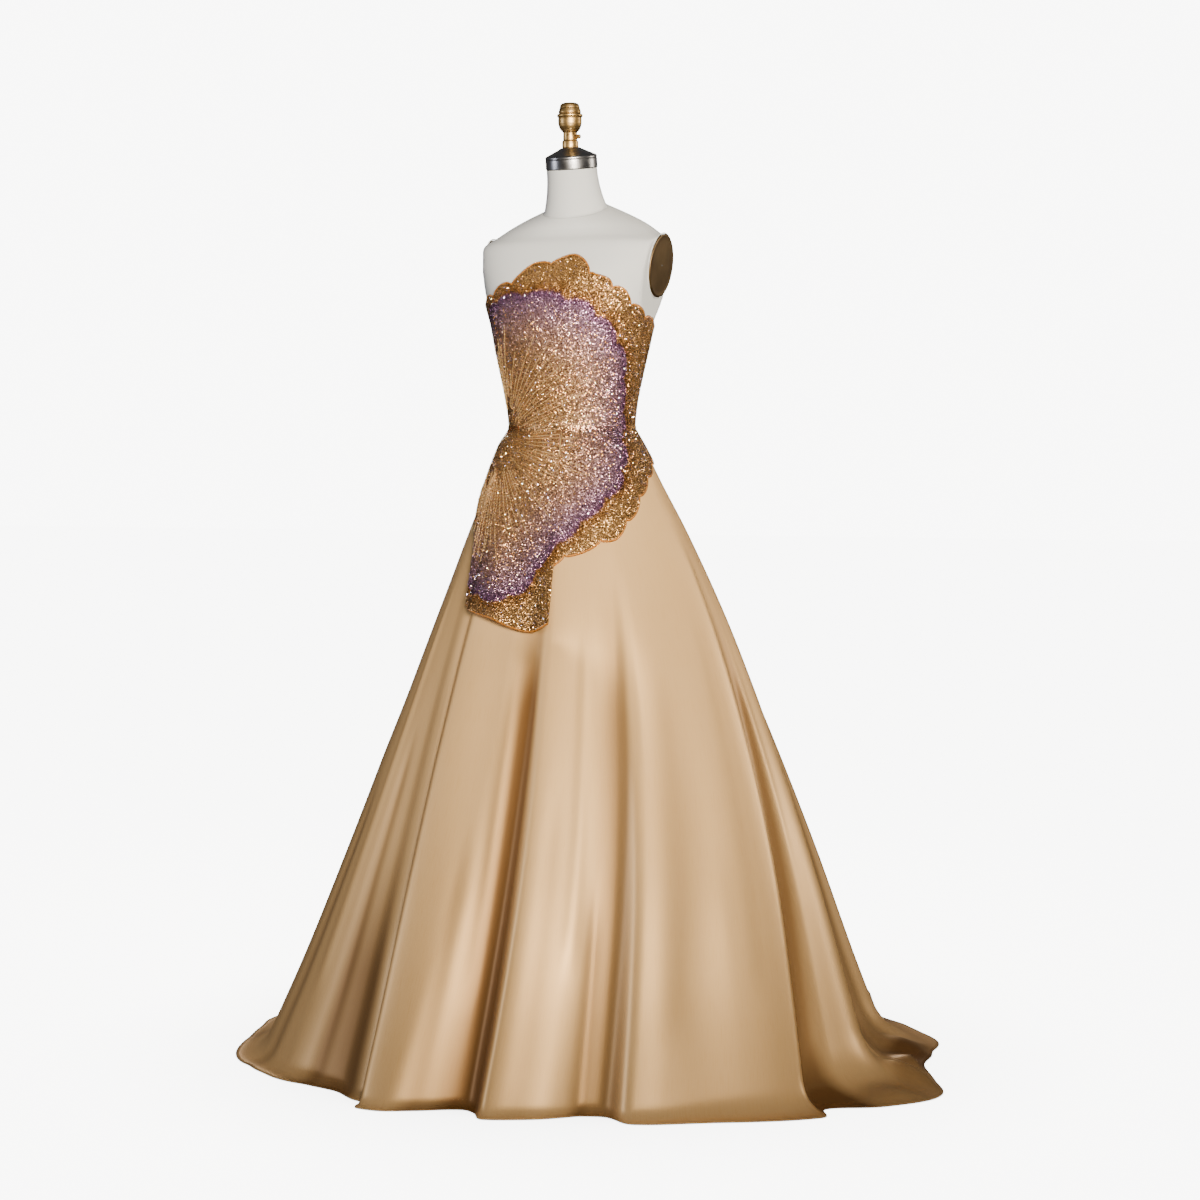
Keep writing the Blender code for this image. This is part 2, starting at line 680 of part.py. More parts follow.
def arm_plate(name, side, collection):
    """An oval brass plate on the flat cut at one arm, with a low rounded rim."""
    angles = np.radians(np.arange(ROUND_STEPS) * WHOLE_TURN / ROUND_STEPS)
    tilt = math.radians(ARM_CUT_TILT)
    rings = []
    for out, share in ARM_PLATE_RINGS:
        along = ARM_PLATE_HALF_HEIGHT * share * np.cos(angles)
        z = ARM_CUT_HEIGHT + along * math.cos(tilt)
        cut = ARM_CUT + SEAM_GAP + out * ARM_PLATE_THICKNESS
        x = side * (cut + along * math.sin(tilt))
        y = ARM_CUT_CENTRE + side * ARM_PLATE_HALF_DEPTH * share * np.sin(angles)
        rings.append(np.stack([x, y, z], axis=-1))
    order = np.array(rings)[:, ::-1]
    return closed_loft(name, order, "antique_brass", collection)


def stand(collection):
    """The pole and the round foot that carry the form."""
    pole = [
        (0.0, POLE_TOP),
        (FLANGE_RADIUS, POLE_TOP),
        (FLANGE_RADIUS, POLE_TOP - FLANGE_THICKNESS),
        (POLE_RADIUS, POLE_TOP - 2 * FLANGE_THICKNESS),
        (POLE_RADIUS, FOOT_HEIGHT + SEAM_GAP),
        (0.0, FOOT_HEIGHT + SEAM_GAP),
    ]
    turned("stand_pole", pole, "black_iron", collection)
    foot = [
        (0.0, FOOT_HEIGHT),
        (0.034, FOOT_HEIGHT),
        (0.060, 0.024),
        (0.130, 0.016),
        (FOOT_RADIUS - 0.004, 0.012),
        (FOOT_RADIUS, 0.008),
        (FOOT_RADIUS, 0.0),
        (0.0, 0.0),
    ]
    turned("stand_base", foot, "black_iron", collection)


def build():
    clear_scene()
    gown = bpy.data.collections.new("evening_gown_on_form")
    bpy.context.scene.collection.children.link(gown)
    form_torso(gown)
    form_neck(gown)
    neck_cap(gown)
    finial(gown)
    cap_screw(gown)
    arm_plate("arm_plate_left", 1, gown)
    arm_plate("arm_plate_right", -1, gown)
    stand(gown)
    right_side = WHOLE_TURN - SIDE_SEAM
    skirt_panel("skirt_front", -SIDE_SEAM, SIDE_SEAM, SKIRT_FRONT_COLUMNS, gown)
    skirt_panel("skirt_back_left", SIDE_SEAM, CENTRE_BACK, SKIRT_BACK_COLUMNS, gown)
    skirt_panel("skirt_back_right", CENTRE_BACK, right_side, SKIRT_BACK_COLUMNS, gown)
    front, back = (BODICE_FRONT_COLUMNS, BODICE_FRONT_ROWS), (BODICE_BACK_COLUMNS, BODICE_BACK_ROWS)
    bodice_panel("bodice_front", -SIDE_SEAM, SIDE_SEAM, *front, gown)
    bodice_panel("bodice_back_left", SIDE_SEAM, CENTRE_BACK, *back, gown)
    bodice_panel("bodice_back_right", -CENTRE_BACK, -SIDE_SEAM, *back, gown)
    hip_overlay(gown)
    front_panel(gown)


build()
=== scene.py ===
import math
from collections import namedtuple

import bpy
import numpy as np
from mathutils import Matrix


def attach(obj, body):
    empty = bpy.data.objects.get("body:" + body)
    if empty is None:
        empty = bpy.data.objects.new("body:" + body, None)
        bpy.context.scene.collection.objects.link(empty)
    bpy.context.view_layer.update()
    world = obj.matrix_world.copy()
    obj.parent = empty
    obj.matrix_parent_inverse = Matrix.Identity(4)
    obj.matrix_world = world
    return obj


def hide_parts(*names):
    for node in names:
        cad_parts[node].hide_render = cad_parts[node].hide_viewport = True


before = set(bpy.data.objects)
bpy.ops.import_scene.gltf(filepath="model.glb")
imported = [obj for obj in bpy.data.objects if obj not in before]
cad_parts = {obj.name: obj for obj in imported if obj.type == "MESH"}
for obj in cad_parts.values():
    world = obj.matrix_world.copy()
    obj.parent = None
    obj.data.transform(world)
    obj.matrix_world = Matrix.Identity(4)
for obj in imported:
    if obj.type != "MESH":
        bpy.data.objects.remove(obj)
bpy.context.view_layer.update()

# The room: a plain pale floor under soft studio light, with the camera where the photographer stood.
# It isn't part of the object. A large soft box beside the camera and a weak fill light the cloth
# from the front, and two boxes behind give the satin its bright edges.
CAMERA_LENS = 78.3
CAMERA_DISTANCE = 5.0
CAMERA_AZIMUTH = math.radians(25)
CAMERA_HEIGHT = 1.13
CAMERA_TILT = math.atan(0.05535)
CAMERA_PAN = math.atan(28 / 2610)
FLOOR_REACH = 30.0
FLOOR_DROP = 0.001
WARM = "#FFF3E2"
Light = namedtuple("Light", "name azimuth elevation distance size power aim beam tint")
LIGHTS = [
    Light("soft_box", 35, 5, 4.4, 1.4, 62, 1.55, 48, WARM),
    Light("fill", -55, 5, 5.0, 1.4, 9, 1.20, 60, "#EDF0FF"),
    Light("back_left", -150, 12, 4.6, 1.6, 42, 1.20, 80, WARM),
    Light("back_right", 128, 10, 4.8, 1.4, 9, 1.35, 60, WARM),
]


def linear(code):
    """An sRGB hex colour in linear light: c / 12.92 up to 0.04045, and above it
    ((c + 0.055) / 1.055) ^ 2.4."""
    part = np.array([int(code[place:place + 2], 16) for place in (1, 3, 5)]) / 255
    light = np.where(part <= 0.04045, part / 12.92, ((part + 0.055) / 1.055) ** 2.4)
    return (*light.tolist(), 1.0)


def add_node(tree, kind, settings=None, links=None):
    """Adds a node. Settings are its own fields or its sockets' values; links give a socket its source."""
    node = tree.nodes.new("ShaderNode" + kind)
    for name, value in (settings or {}).items():
        if isinstance(name, str) and hasattr(node, name):
            setattr(node, name, value)
        else:
            node.inputs[name].default_value = value
    for name, source in (links or {}).items():
        tree.links.new(source, node.inputs[name])
    return node


def new_material(name, **sockets):
    """A material whose Principled shader has the given socket values, with underscores for spaces."""
    made = bpy.data.materials.new(name)
    made.use_nodes = True
    shader = made.node_tree.nodes["Principled BSDF"]
    for socket, value in sockets.items():
        shader.inputs[socket.replace("_", " ")].default_value = value
    return made, made.node_tree, shader


def add_light(light):
    """A square soft box with a beam that wide, at that direction from the height it is aimed at."""
    lamp = bpy.data.lights.new(light.name, "AREA")
    lamp.spread = math.radians(light.beam)
    lamp.color = linear(light.tint)[:3]
    lamp.size = light.size
    lamp.energy = light.power
    item = bpy.data.objects.new(light.name, lamp)
    turn, rise = math.radians(light.azimuth), math.radians(light.elevation)
    item.location = (
        light.distance * math.cos(rise) * math.sin(turn),
        -light.distance * math.cos(rise) * math.cos(turn),
        light.aim + light.distance * math.sin(rise),
    )
    item.rotation_euler = (math.radians(90) - rise, 0, turn)
    bpy.context.scene.collection.objects.link(item)


eye = bpy.data.cameras.new("camera")
eye.lens = CAMERA_LENS
camera = bpy.data.objects.new("camera", eye)
camera.location = (
    CAMERA_DISTANCE * math.sin(CAMERA_AZIMUTH),
    -CAMERA_DISTANCE * math.cos(CAMERA_AZIMUTH),
    CAMERA_HEIGHT,
)
camera.rotation_euler = (math.pi / 2 - CAMERA_TILT, 0, CAMERA_AZIMUTH - CAMERA_PAN)
bpy.context.scene.collection.objects.link(camera)
bpy.context.scene.camera = camera

for light in LIGHTS:
    add_light(light)

world = bpy.data.worlds.new("studio")
world.use_nodes = True
air = world.node_tree
seen = add_node(air, "LightPath")
backdrop = add_node(air, "Background", {"Color": linear("#FBFBFA"), "Strength": 9.0})
bounce = air.nodes["Background"]
bounce.inputs["Color"].default_value = linear("#E6E8EC")
bounce.inputs["Strength"].default_value = 0.10
choice = add_node(air, "MixShader", None, {0: seen.outputs["Is Camera Ray"]})
air.links.new(bounce.outputs[0], choice.inputs[1])
air.links.new(backdrop.outputs[0], choice.inputs[2])
air.links.new(choice.outputs[0], air.nodes["World Output"].inputs["Surface"])
bpy.context.scene.world = world

floor_mesh = bpy.data.meshes.new("floor")
corners = [(x * FLOOR_REACH, y * FLOOR_REACH, -FLOOR_DROP)
           for x, y in ((-1, -1), (1, -1), (1, 1), (-1, 1))]
floor_mesh.from_pydata(corners, [], [(0, 1, 2, 3)])
floor = bpy.data.objects.new("floor", floor_mesh)
bpy.context.scene.collection.objects.link(floor)
paper, paper_tree, paper_shader = new_material("matt_studio_paper", Base_Color=linear("#E9E8E5"), Roughness=0.9)
# The floor glows an even white to the camera, dimmed near the gown by ambient occlusion: a painted contact
# shadow. Light that bounces off it meets a darker plain diffuse.
contact_shadow_ao = add_node(paper_tree, "AmbientOcclusion", {"samples": 6, "Distance": 0.5})
glow_with_painted_shadow = add_node(paper_tree, "MapRange", {"To Min": 1.6, "To Max": 8.6}, {"Value": contact_shadow_ao.outputs["AO"]})
glow = add_node(paper_tree, "Emission", {"Color": linear("#FBFBFA")}, {"Strength": glow_with_painted_shadow.outputs["Result"]})
both = add_node(paper_tree, "AddShader", None, {0: glow.outputs[0], 1: paper_shader.outputs[0]})
watched = add_node(paper_tree, "LightPath")
dull = add_node(paper_tree, "BsdfDiffuse", {"Color": linear("#5C5346")})
kept = add_node(paper_tree, "MixShader", None,
                {0: watched.outputs["Is Camera Ray"], 1: dull.outputs[0], 2: both.outputs[0]})
paper_tree.links.new(kept.outputs[0], paper_tree.nodes["Material Output"].inputs["Surface"])
floor_mesh.materials.append(paper)


# The stand: a cast iron foot and an iron pole, painted semi-matt black, that carry the form.
# The skirt hides them, so they keep the plain solids and get the paint's fine orange peel.


def add_bump(tree, shader, height, strength, distance):
    """Fine relief on a shader's normal, where a height of 1 stands for that distance in metres."""
    bump = add_node(tree, "Bump", {"Strength": strength, "Distance": distance}, {"Height": height})
    tree.links.new(bump.outputs["Normal"], shader.inputs["Normal"])


iron, iron_tree, iron_shader = new_material("painted_cast_iron", Base_Color=linear("#1D1D1F"), Roughness=0.46)
peel = add_node(iron_tree, "TexNoise", {"Scale": 260.0, "Detail": 2.0},
                {"Vector": add_node(iron_tree, "TexCoord").outputs["Object"]})
add_bump(iron_tree, iron_shader, peel.outputs["Fac"], 0.25, 0.0004)
for node in ("stand_pole", "stand_base"):
    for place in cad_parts[node].material_slots:
        place.material = iron


# The dress form: a padded torso under a taut pale grey cotton cover, cut flat at both arms, and a
# covered neck that leans forward. The cover is sewn to the neck with a plain seam.
WAIST_HEIGHT = 1.18
Ring = namedtuple("Ring", "height half_width front back centre power slope")
TORSO = [
    Ring(0.895, 0.166, 0.100, 0.122, 0.0, 2.0, 0.0),
    Ring(0.912, 0.176, 0.111, 0.132, 0.0, 2.0, 0.0),
    Ring(0.970, 0.178, 0.115, 0.136, 0.0, 2.0, 0.0),
    Ring(1.030, 0.167, 0.111, 0.128, 0.0, 2.0, 0.0),
    Ring(1.090, 0.146, 0.102, 0.110, 0.0, 2.0, 0.0),
    Ring(1.140, 0.127, 0.093, 0.094, 0.0, 2.0, 0.0),
    Ring(1.180, 0.1205, 0.090, 0.088, 0.0, 2.0, 0.0),
    Ring(1.220, 0.124, 0.095, 0.090, 0.0, 2.0, 0.0),
    Ring(1.270, 0.133, 0.107, 0.094, 0.002, 2.05, 0.0),
    Ring(1.330, 0.146, 0.124, 0.099, 0.005, 2.1, 0.0),
    Ring(1.380, 0.156, 0.134, 0.101, 0.010, 2.2, 0.0),
    Ring(1.420, 0.170, 0.137, 0.098, 0.018, 2.3, 0.0),
    Ring(1.460, 0.182, 0.128, 0.092, 0.025, 2.5, 0.0),
    Ring(1.500, 0.191, 0.113, 0.084, 0.030, 2.7, 0.0),
    Ring(1.532, 0.188, 0.098, 0.076, 0.032, 2.7, 0.0),
    Ring(1.550, 0.165, 0.086, 0.072, 0.030, 2.4, 0.08),
    Ring(1.570, 0.134, 0.076, 0.070, 0.026, 2.1, 0.20),
    Ring(1.588, 0.092, 0.066, 0.063, 0.020, 2.0, 0.30),
    Ring(1.598, 0.063, 0.057, 0.056, 0.016, 2.0, 0.36),
]
ARM_CUT = 0.1700
ARM_CUT_HEIGHT = 1.488
ARM_CUT_TILT = math.radians(8)
NECK_BASE_HEIGHT = 1.5983
NECK_TOP_HEIGHT = 1.674
NECK_LEAN = math.radians(9)
CAP_RADIUS = 0.0495
NECK_INSET, NECK_FLARE_WIDTH, NECK_FLARE_DEPTH = 0.0015, 0.0130, 0.0065
SHOULDER_ROWS = (1.598, 1.500, 34)
TORSO_ROWS = (1.4965, 0.895, 100)
PIPING_RADIUS = 0.0011
PIPING_LIFT = 0.0006


def blend(tree, first, second, fac):
    """Two colours mixed by the strength of a texture's socket."""
    mix = add_node(tree, "MixRGB", {"Color1": linear(first), "Color2": linear(second)}, {"Fac": fac})
    return mix.outputs[0]


def full_turn(count):
    """Equal steps round a full turn, in degrees."""
    return np.arange(count) * 360 / count


def normalised(vectors):
    """The same directions, each 1 long."""
    return vectors / np.linalg.norm(vectors, axis=-1, keepdims=True)


def smooth_curve(places, values, at):
    """A cubic through the given points, whose slope at each is that of its neighbours' chord."""
    places, values = np.asarray(places, float), np.asarray(values, float)
    slopes = np.gradient(values, places)
    at = np.clip(at, places[0], places[-1])
    left = np.clip(np.searchsorted(places, at, side="right") - 1, 0, len(places) - 2)
    run = places[left + 1] - places[left]
    share = (at - places[left]) / run
    rise = values[left + 1] - values[left]
    first, last = run * slopes[left] - rise, rise - run * slopes[left + 1]
    return values[left] + share * rise + share * (1 - share) * ((1 - share) * first + share * last)


def follow(table, key, name, at):
    """The table's named column as a smooth curve over its key column."""
    return smooth_curve([getattr(row, key) for row in table], [getattr(row, name) for row in table], at)


def smooth_step(share):
    """3 s^2 - 2 s^3, held at 0 and 1 outside them."""
    share = np.clip(share, 0.0, 1.0)
    return share * share * (3 - 2 * share)


def body_point(angle, height, away):
    """A level section |x / a|^p + |y / b|^p = 1 of the form, grown by away, tilted by its slope and
    cut flat at the arms."""
    half_width = follow(TORSO, "height", "half_width", height) + away
    front = follow(TORSO, "height", "front", height) + away
    back = follow(TORSO, "height", "back", height) + away
    power = follow(TORSO, "height", "power", height)
    slope = follow(TORSO, "height", "slope", height)
    centre = follow(TORSO, "height", "centre", height)
    sine, cosine = np.sin(np.radians(angle)), np.cos(np.radians(angle))
    x = half_width * np.sign(sine) * np.abs(sine) ** (2 / power)
    depth = np.where(cosine > 0, front, back)
    y = -depth * np.sign(cosine) * np.abs(cosine) ** (2 / power)
    limit = ARM_CUT + (height - ARM_CUT_HEIGHT) * math.tan(ARM_CUT_TILT) + away
    x = np.clip(x, -limit, limit)
    return np.stack([x, y + centre, height + slope * y], axis=-1)


def weave_mesh(name, points, material, round_about=False, looped=False, ends=False, uv=None):
    """A surface through a grid of points, columns round by rows down, with quads between them."""
    columns, rows = points.shape[:2]
    at = np.arange(columns * rows).reshape(columns, rows)
    if round_about:
        at = np.concatenate([at, at[:1]])
    if looped:
        at = np.concatenate([at, at[:, :1]], axis=1)
    faces = np.stack([at[:-1, :-1], at[:-1, 1:], at[1:, 1:], at[1:, :-1]], axis=-1).reshape(-1, 4)
    vertices = points.reshape(-1, 3)
    lists = faces.tolist()
    if ends:
        for row, step in ((0, 1), (-1, -1)):
            middle = len(vertices)
            vertices = np.concatenate([vertices, points[:, row].mean(axis=0)[None]])
            ring = at[::step, row]
            lists += np.stack([np.full(columns, middle), ring[:-1], ring[1:]], axis=-1).tolist()
    mesh = bpy.data.meshes.new(name)
    mesh.from_pydata(vertices.tolist(), [], lists)
    if uv is not None:
        layer = mesh.uv_layers.new(name="cloth")
        layer.data.foreach_set("uv", uv.reshape(-1, 2)[faces.reshape(-1)].astype(np.float32).reshape(-1))
    mesh.materials.append(material)
    mesh.shade_smooth()
    item = bpy.data.objects.new(name, mesh)
    bpy.context.scene.collection.objects.link(item)
    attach(item, "root")
    return item


# Cotton jersey, taut over padding: matt, a pale neutral grey, with a fine knit of 0.9 mm wales
# (drawn at 1.6 mm, so that it shows) and the faint mottling of a cover that has been handled.
jersey, jersey_tree, jersey_shader = new_material("cotton_jersey_cover", Roughness=0.95)
jersey_at = add_node(jersey_tree, "TexCoord").outputs["Object"]
mottle = add_node(jersey_tree, "TexNoise", {"Scale": 7.0, "Detail": 4.0, "Roughness": 0.6},
                  {"Vector": jersey_at})
jersey_mix = blend(jersey_tree, "#BCBFBE", "#AFB1B0", mottle.outputs["Fac"])
jersey_tree.links.new(jersey_mix, jersey_shader.inputs["Base Color"])
wales = add_node(jersey_tree, "TexVoronoi", {"Scale": 620.0, "feature": "F1"}, {"Vector": jersey_at})
add_bump(jersey_tree, jersey_shader, wales.outputs["Distance"], 0.35, 0.0003)

heights = np.concatenate([np.linspace(*SHOULDER_ROWS), np.linspace(*TORSO_ROWS)])[None, :]
torso = weave_mesh("torso_cover", body_point(full_turn(160)[:, None], heights, 0.0), jersey,
                   round_about=True, ends=True)
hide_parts("form_torso")


def neck_point(angle, share):
    """The neck: ellipses that grow with the square of the way down, each tilted between the
    shoulder's slope and the cap's."""
    base, lean = TORSO[-1], math.tan(NECK_LEAN)
    flare = (1 - share) ** 2
    x = (CAP_RADIUS - NECK_INSET + NECK_FLARE_WIDTH * flare) * np.sin(np.radians(angle))
    y = -(CAP_RADIUS - NECK_INSET + NECK_FLARE_DEPTH * flare) * np.cos(np.radians(angle))
    height = NECK_BASE_HEIGHT + (NECK_TOP_HEIGHT - NECK_BASE_HEIGHT) * share
    slope = base.slope + (lean - base.slope) * share
    return np.stack([x, y + base.centre * (1 - share), height + slope * y], axis=-1)


def tube(name, path, radius, material, sides=8, closed=False):
    """A round cord: a circle of that radius carried along a path, square to its direction."""
    path = np.asarray(path, float)
    if closed:
        along = np.roll(path, -1, axis=0) - np.roll(path, 1, axis=0)
    else:
        along = np.gradient(path, axis=0)
    along = normalised(along)
    out = path * [1, 1, 0]
    out = normalised(out - np.sum(out * along, axis=1, keepdims=True) * along)
    side = np.cross(along, out)
    turn = np.arange(sides) * 2 * math.pi / sides
    radius = np.broadcast_to(radius, len(path))[None, :, None]
    ring = np.cos(turn)[:, None, None] * out[None] + np.sin(turn)[:, None, None] * side[None]
    points = path[None] + radius * ring
    return weave_mesh(name, points, material, round_about=True, looped=closed, ends=not closed)


neck = weave_mesh("neck_cover", neck_point(full_turn(96)[:, None], np.linspace(1, 0, 40)[None, :]),
                  jersey, round_about=True, ends=True)
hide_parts("form_neck")

# The seam that joins the neck's cover to the shoulders: a thin self-covered piping, sewn all round.
piping_path = neck_point(full_turn(120), 0.0) + [0, 0, PIPING_LIFT]
piping = tube("neck_seam_piping", piping_path, PIPING_RADIUS, jersey, closed=True)


# The neck cap: spun steel, a straight band with a shallow crown, brushed round on the lathe.
# It sits over the top of the covered neck and carries the finial.
CAP_BAND = 0.025
CAP_CROWN = 0.040
JOINT_GAP = 0.0003


def turned(name, profile, material, lift, lean, steps=96, across=False, aside=0.0):
    """A body turned about Z from (radius, height) pairs, leaned forward and stood over the neck's top.
    Across turns its axis to X, and aside moves it along."""
    profile = np.asarray(profile, float)
    angle = np.radians(full_turn(steps))[:, None]
    radius, height = profile[None, :, 0], profile[None, :, 1]
    points = np.stack(np.broadcast_arrays(radius * np.sin(angle), -radius * np.cos(angle), height), axis=-1)
    if across:
        points = np.stack([points[..., 2] + aside, points[..., 1], -points[..., 0]], axis=-1)
    y, z = points[..., 1].copy(), points[..., 2].copy()
    points[..., 1] = y * math.cos(lean) - z * math.sin(lean) - lift * math.sin(NECK_LEAN)
    points[..., 2] = NECK_TOP_HEIGHT + y * math.sin(lean) + z * math.cos(lean) + lift * math.cos(NECK_LEAN)
    return weave_mesh(name, points, material, round_about=True, ends=True)


def rounded(profile, by=0.0007, turns=3):
    """The profile with its corners cut off, turn after turn and less each time, so that its edges
    catch the light as worn ones do."""
    profile = np.asarray(profile, float)
    for _ in range(turns):
        before, after = profile[:-1], profile[1:]
        length = np.linalg.norm(after - before, axis=1, keepdims=True)
        cut = np.minimum(0.25 * length, by) / length
        step = (after - before) * cut
        inner = np.stack([before + step, after - step], axis=1).reshape(-1, 2)
        profile = np.concatenate([profile[:1], inner[1:-1], profile[-1:]])
        by *= 0.5
    return profile


# Brushed steel: the lathe leaves fine rings 0.2 mm apart, drawn at 0.6 mm, that stretch each highlight.
steel, steel_tree, steel_shader = new_material(
    "lathe_brushed_steel", Base_Color=linear("#8F8F90"), Metallic=1.0, Roughness=0.27)
steel_at = add_node(steel_tree, "TexCoord").outputs["Object"]
rings = add_node(steel_tree, "TexWave",
                 {"bands_direction": "Z", "Scale": 260.0, "Distortion": 1.5, "Detail": 2.0},
                 {"Vector": steel_at})
add_bump(steel_tree, steel_shader, rings.outputs["Fac"], 0.12, 0.0001)
tarnish = add_node(steel_tree, "TexNoise", {"Scale": 55.0, "Detail": 5.0}, {"Vector": steel_at})
steel_rough = add_node(steel_tree, "MapRange", {"To Min": 0.2, "To Max": 0.42},
                       {"Value": tarnish.outputs["Fac"]})
steel_tree.links.new(steel_rough.outputs["Result"], steel_shader.inputs["Roughness"])

cap_profile = rounded([
    (0.002, CAP_CROWN),
    (0.0170, CAP_CROWN),
    (0.0300, CAP_BAND + 0.0085),
    (0.0440, CAP_BAND + 0.0020),
    (0.0480, CAP_BAND),
    (CAP_RADIUS, CAP_BAND - 0.0020),
    (CAP_RADIUS, CAP_BAND - 0.0050),
    (CAP_RADIUS - 0.0006, CAP_BAND - 0.0056),
    (CAP_RADIUS - 0.0006, CAP_BAND - 0.0064),
    (CAP_RADIUS, CAP_BAND - 0.0070),
    (CAP_RADIUS, 0.0010),
    (CAP_RADIUS - 0.0010, 0.0),
    (0.002, 0.0),
])
cap = turned("steel_neck_cap", cap_profile, steel, JOINT_GAP, NECK_LEAN)
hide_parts("neck_cap")


# The finial: a turned brass knob that screws into the cap, with a beaded ring, a bowl, a stem and a
# base ring, and beside its stem the small thumb screw that locks it.
brass, brass_tree, brass_shader = new_material("aged_turned_brass", Metallic=1.0, Roughness=0.4)
brass_at = add_node(brass_tree, "TexCoord").outputs["Object"]
age = add_node(brass_tree, "TexNoise", {"Scale": 90.0, "Detail": 6.0, "Roughness": 0.65},
               {"Vector": brass_at})
worn = add_node(brass_tree, "MapRange", {"From Min": 0.42, "From Max": 0.7}, {"Value": age.outputs["Fac"]})
brass_mix = blend(brass_tree, "#BE9C64", "#735A36", worn.outputs["Result"])
hollows = add_node(brass_tree, "NewGeometry").outputs["Pointiness"]
dirt = add_node(brass_tree, "MapRange", {"From Min": 0.40, "From Max": 0.50}, {"Value": hollows})
brass_dark = add_node(brass_tree, "MixRGB", {"Color1": linear("#4A2E10")},
                      {"Fac": dirt.outputs["Result"], "Color2": brass_mix})
brass_tree.links.new(brass_dark.outputs[0], brass_shader.inputs["Base Color"])

finial_profile = rounded([
    (0.002, 0.0820),
    (0.0110, 0.0815),
    (0.0160, 0.0798),
    (0.0180, 0.0770),
    (0.0192, 0.0722),
    (0.0186, 0.0716),
    (0.0196, 0.0706),
    (0.0215, 0.0640),
    (0.0205, 0.0615),
    (0.0236, 0.0598),
    (0.0245, 0.0585),
    (0.0245, 0.0560),
    (0.0236, 0.0547),
    (0.0220, 0.0530),
    (0.0225, 0.0515),
    (0.0225, 0.0430),
    (0.0212, 0.0370),
    (0.0190, 0.0320),
    (0.0160, 0.0282),
    (0.0140, 0.0265),
    (0.0132, 0.0250),
    (0.0135, 0.0110),
    (0.0155, 0.0090),
    (0.0155, 0.0015),
    (0.0152, -0.0035),
    (0.002, -0.0035),
], by=0.0005)
FINIAL_LEAN = math.radians(2)
FINIAL_FOOT = 0.0145
STEM_RADIUS = 0.0140
SCREW_HALF = 0.0040
SCREW_HEIGHT = 0.0200
finial_lift = CAP_CROWN + FINIAL_FOOT * math.sin(NECK_LEAN) + JOINT_GAP
knob = turned("brass_finial", finial_profile, brass, finial_lift, FINIAL_LEAN)
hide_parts("finial")

# The thumb screw: a flat end, a milled head whose radius alternates by 0.2 mm, and a flat end again.
screw_profile = [(0.0005, SCREW_HALF), (0.0031, SCREW_HALF), (0.0036, 0.0036)]
screw_profile += [(0.0036 + 0.0006 * share + 0.0002 * (-1) ** row, 0.0034 - 0.0068 * share)
                  for row, share in enumerate(np.linspace(0, 1, 15))]
screw_profile += [(0.0040, -SCREW_HALF), (0.0005, -SCREW_HALF)]
screw = turned("thumb_screw", screw_profile, brass, CAP_CROWN + SCREW_HEIGHT, 0.0, steps=40,
               across=True, aside=STEM_RADIUS + JOINT_GAP + SCREW_HALF)
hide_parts("cap_screw")


# The arm plates: oval plates of stamped brass, browned with age, that close the cut at each arm.
# A small round-headed screw holds each at its middle, and the cover's edge is piped round it.
bronze, bronze_tree, bronze_shader = new_material("browned_brass_plate", Metallic=1.0, Roughness=0.38)
bronze_at = add_node(bronze_tree, "TexCoord").outputs["Object"]
stain = add_node(bronze_tree, "TexNoise", {"Scale": 18.0, "Detail": 6.0, "Roughness": 0.6},
                 {"Vector": bronze_at})
bronze_mix = blend(bronze_tree, "#99805C", "#4E3E2C", stain.outputs["Fac"])
bronze_tree.links.new(bronze_mix, bronze_shader.inputs["Base Color"])
PLATE_HEIGHT, PLATE_DEPTH, PLATE_CENTRE = 0.060, 0.054, 0.030
PLATE_SHARES = np.array([[0.004, 0.35, 0.62, 0.80, 0.90, 0.935, 0.96, 0.98, 0.992, 1.0, 1.0]])
PLATE_RISES = np.array([
    [0.0040, 0.0040, 0.0039, 0.0038, 0.0037, 0.0040, 0.0040, 0.0037, 0.0031, 0.0024, 0.0003]])
HEAD_RADIUS = 0.0030
HEAD_SHARES = np.array([[0.0002, 0.6, 1.0, 1.0]])
HEAD_RISES = np.array([[0.0042, 0.0040, 0.0032, 0.0020]])
RIM_OUT, RIM_BEYOND = 0.0006, 0.0016


def on_arm(side, out, up, along):
    """A point that far out from the flat cut at one arm, and that far up and back from its middle."""
    x = side * (ARM_CUT + out + up * math.sin(ARM_CUT_TILT))
    z = ARM_CUT_HEIGHT + up * math.cos(ARM_CUT_TILT)
    return np.stack(np.broadcast_arrays(x, PLATE_CENTRE + side * along, z), axis=-1)


oval = np.radians(full_turn(96))[:, None]
ring = np.radians(full_turn(32))[:, None]
for word, side in (("left", 1), ("right", -1)):
    plate_points = on_arm(side, PLATE_RISES, PLATE_HEIGHT * PLATE_SHARES * np.cos(oval),
                          PLATE_DEPTH * PLATE_SHARES * np.sin(oval))
    plate = weave_mesh("arm_plate_cover_" + word, plate_points, bronze, round_about=True, ends=True)
    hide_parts("arm_plate_" + word)
    head = HEAD_SHARES * HEAD_RADIUS
    head_points = on_arm(side, HEAD_RISES, head * np.cos(ring), head * np.sin(ring))
    screw_head = weave_mesh("plate_screw_" + word, head_points, steel, round_about=True, ends=True)
    rim = on_arm(side, RIM_OUT, (PLATE_HEIGHT + RIM_BEYOND) * np.cos(oval[:, 0]),
                 (PLATE_DEPTH + RIM_BEYOND) * np.sin(oval[:, 0]))
    rim_piping = tube("plate_piping_" + word, rim, PIPING_RADIUS, jersey, closed=True)


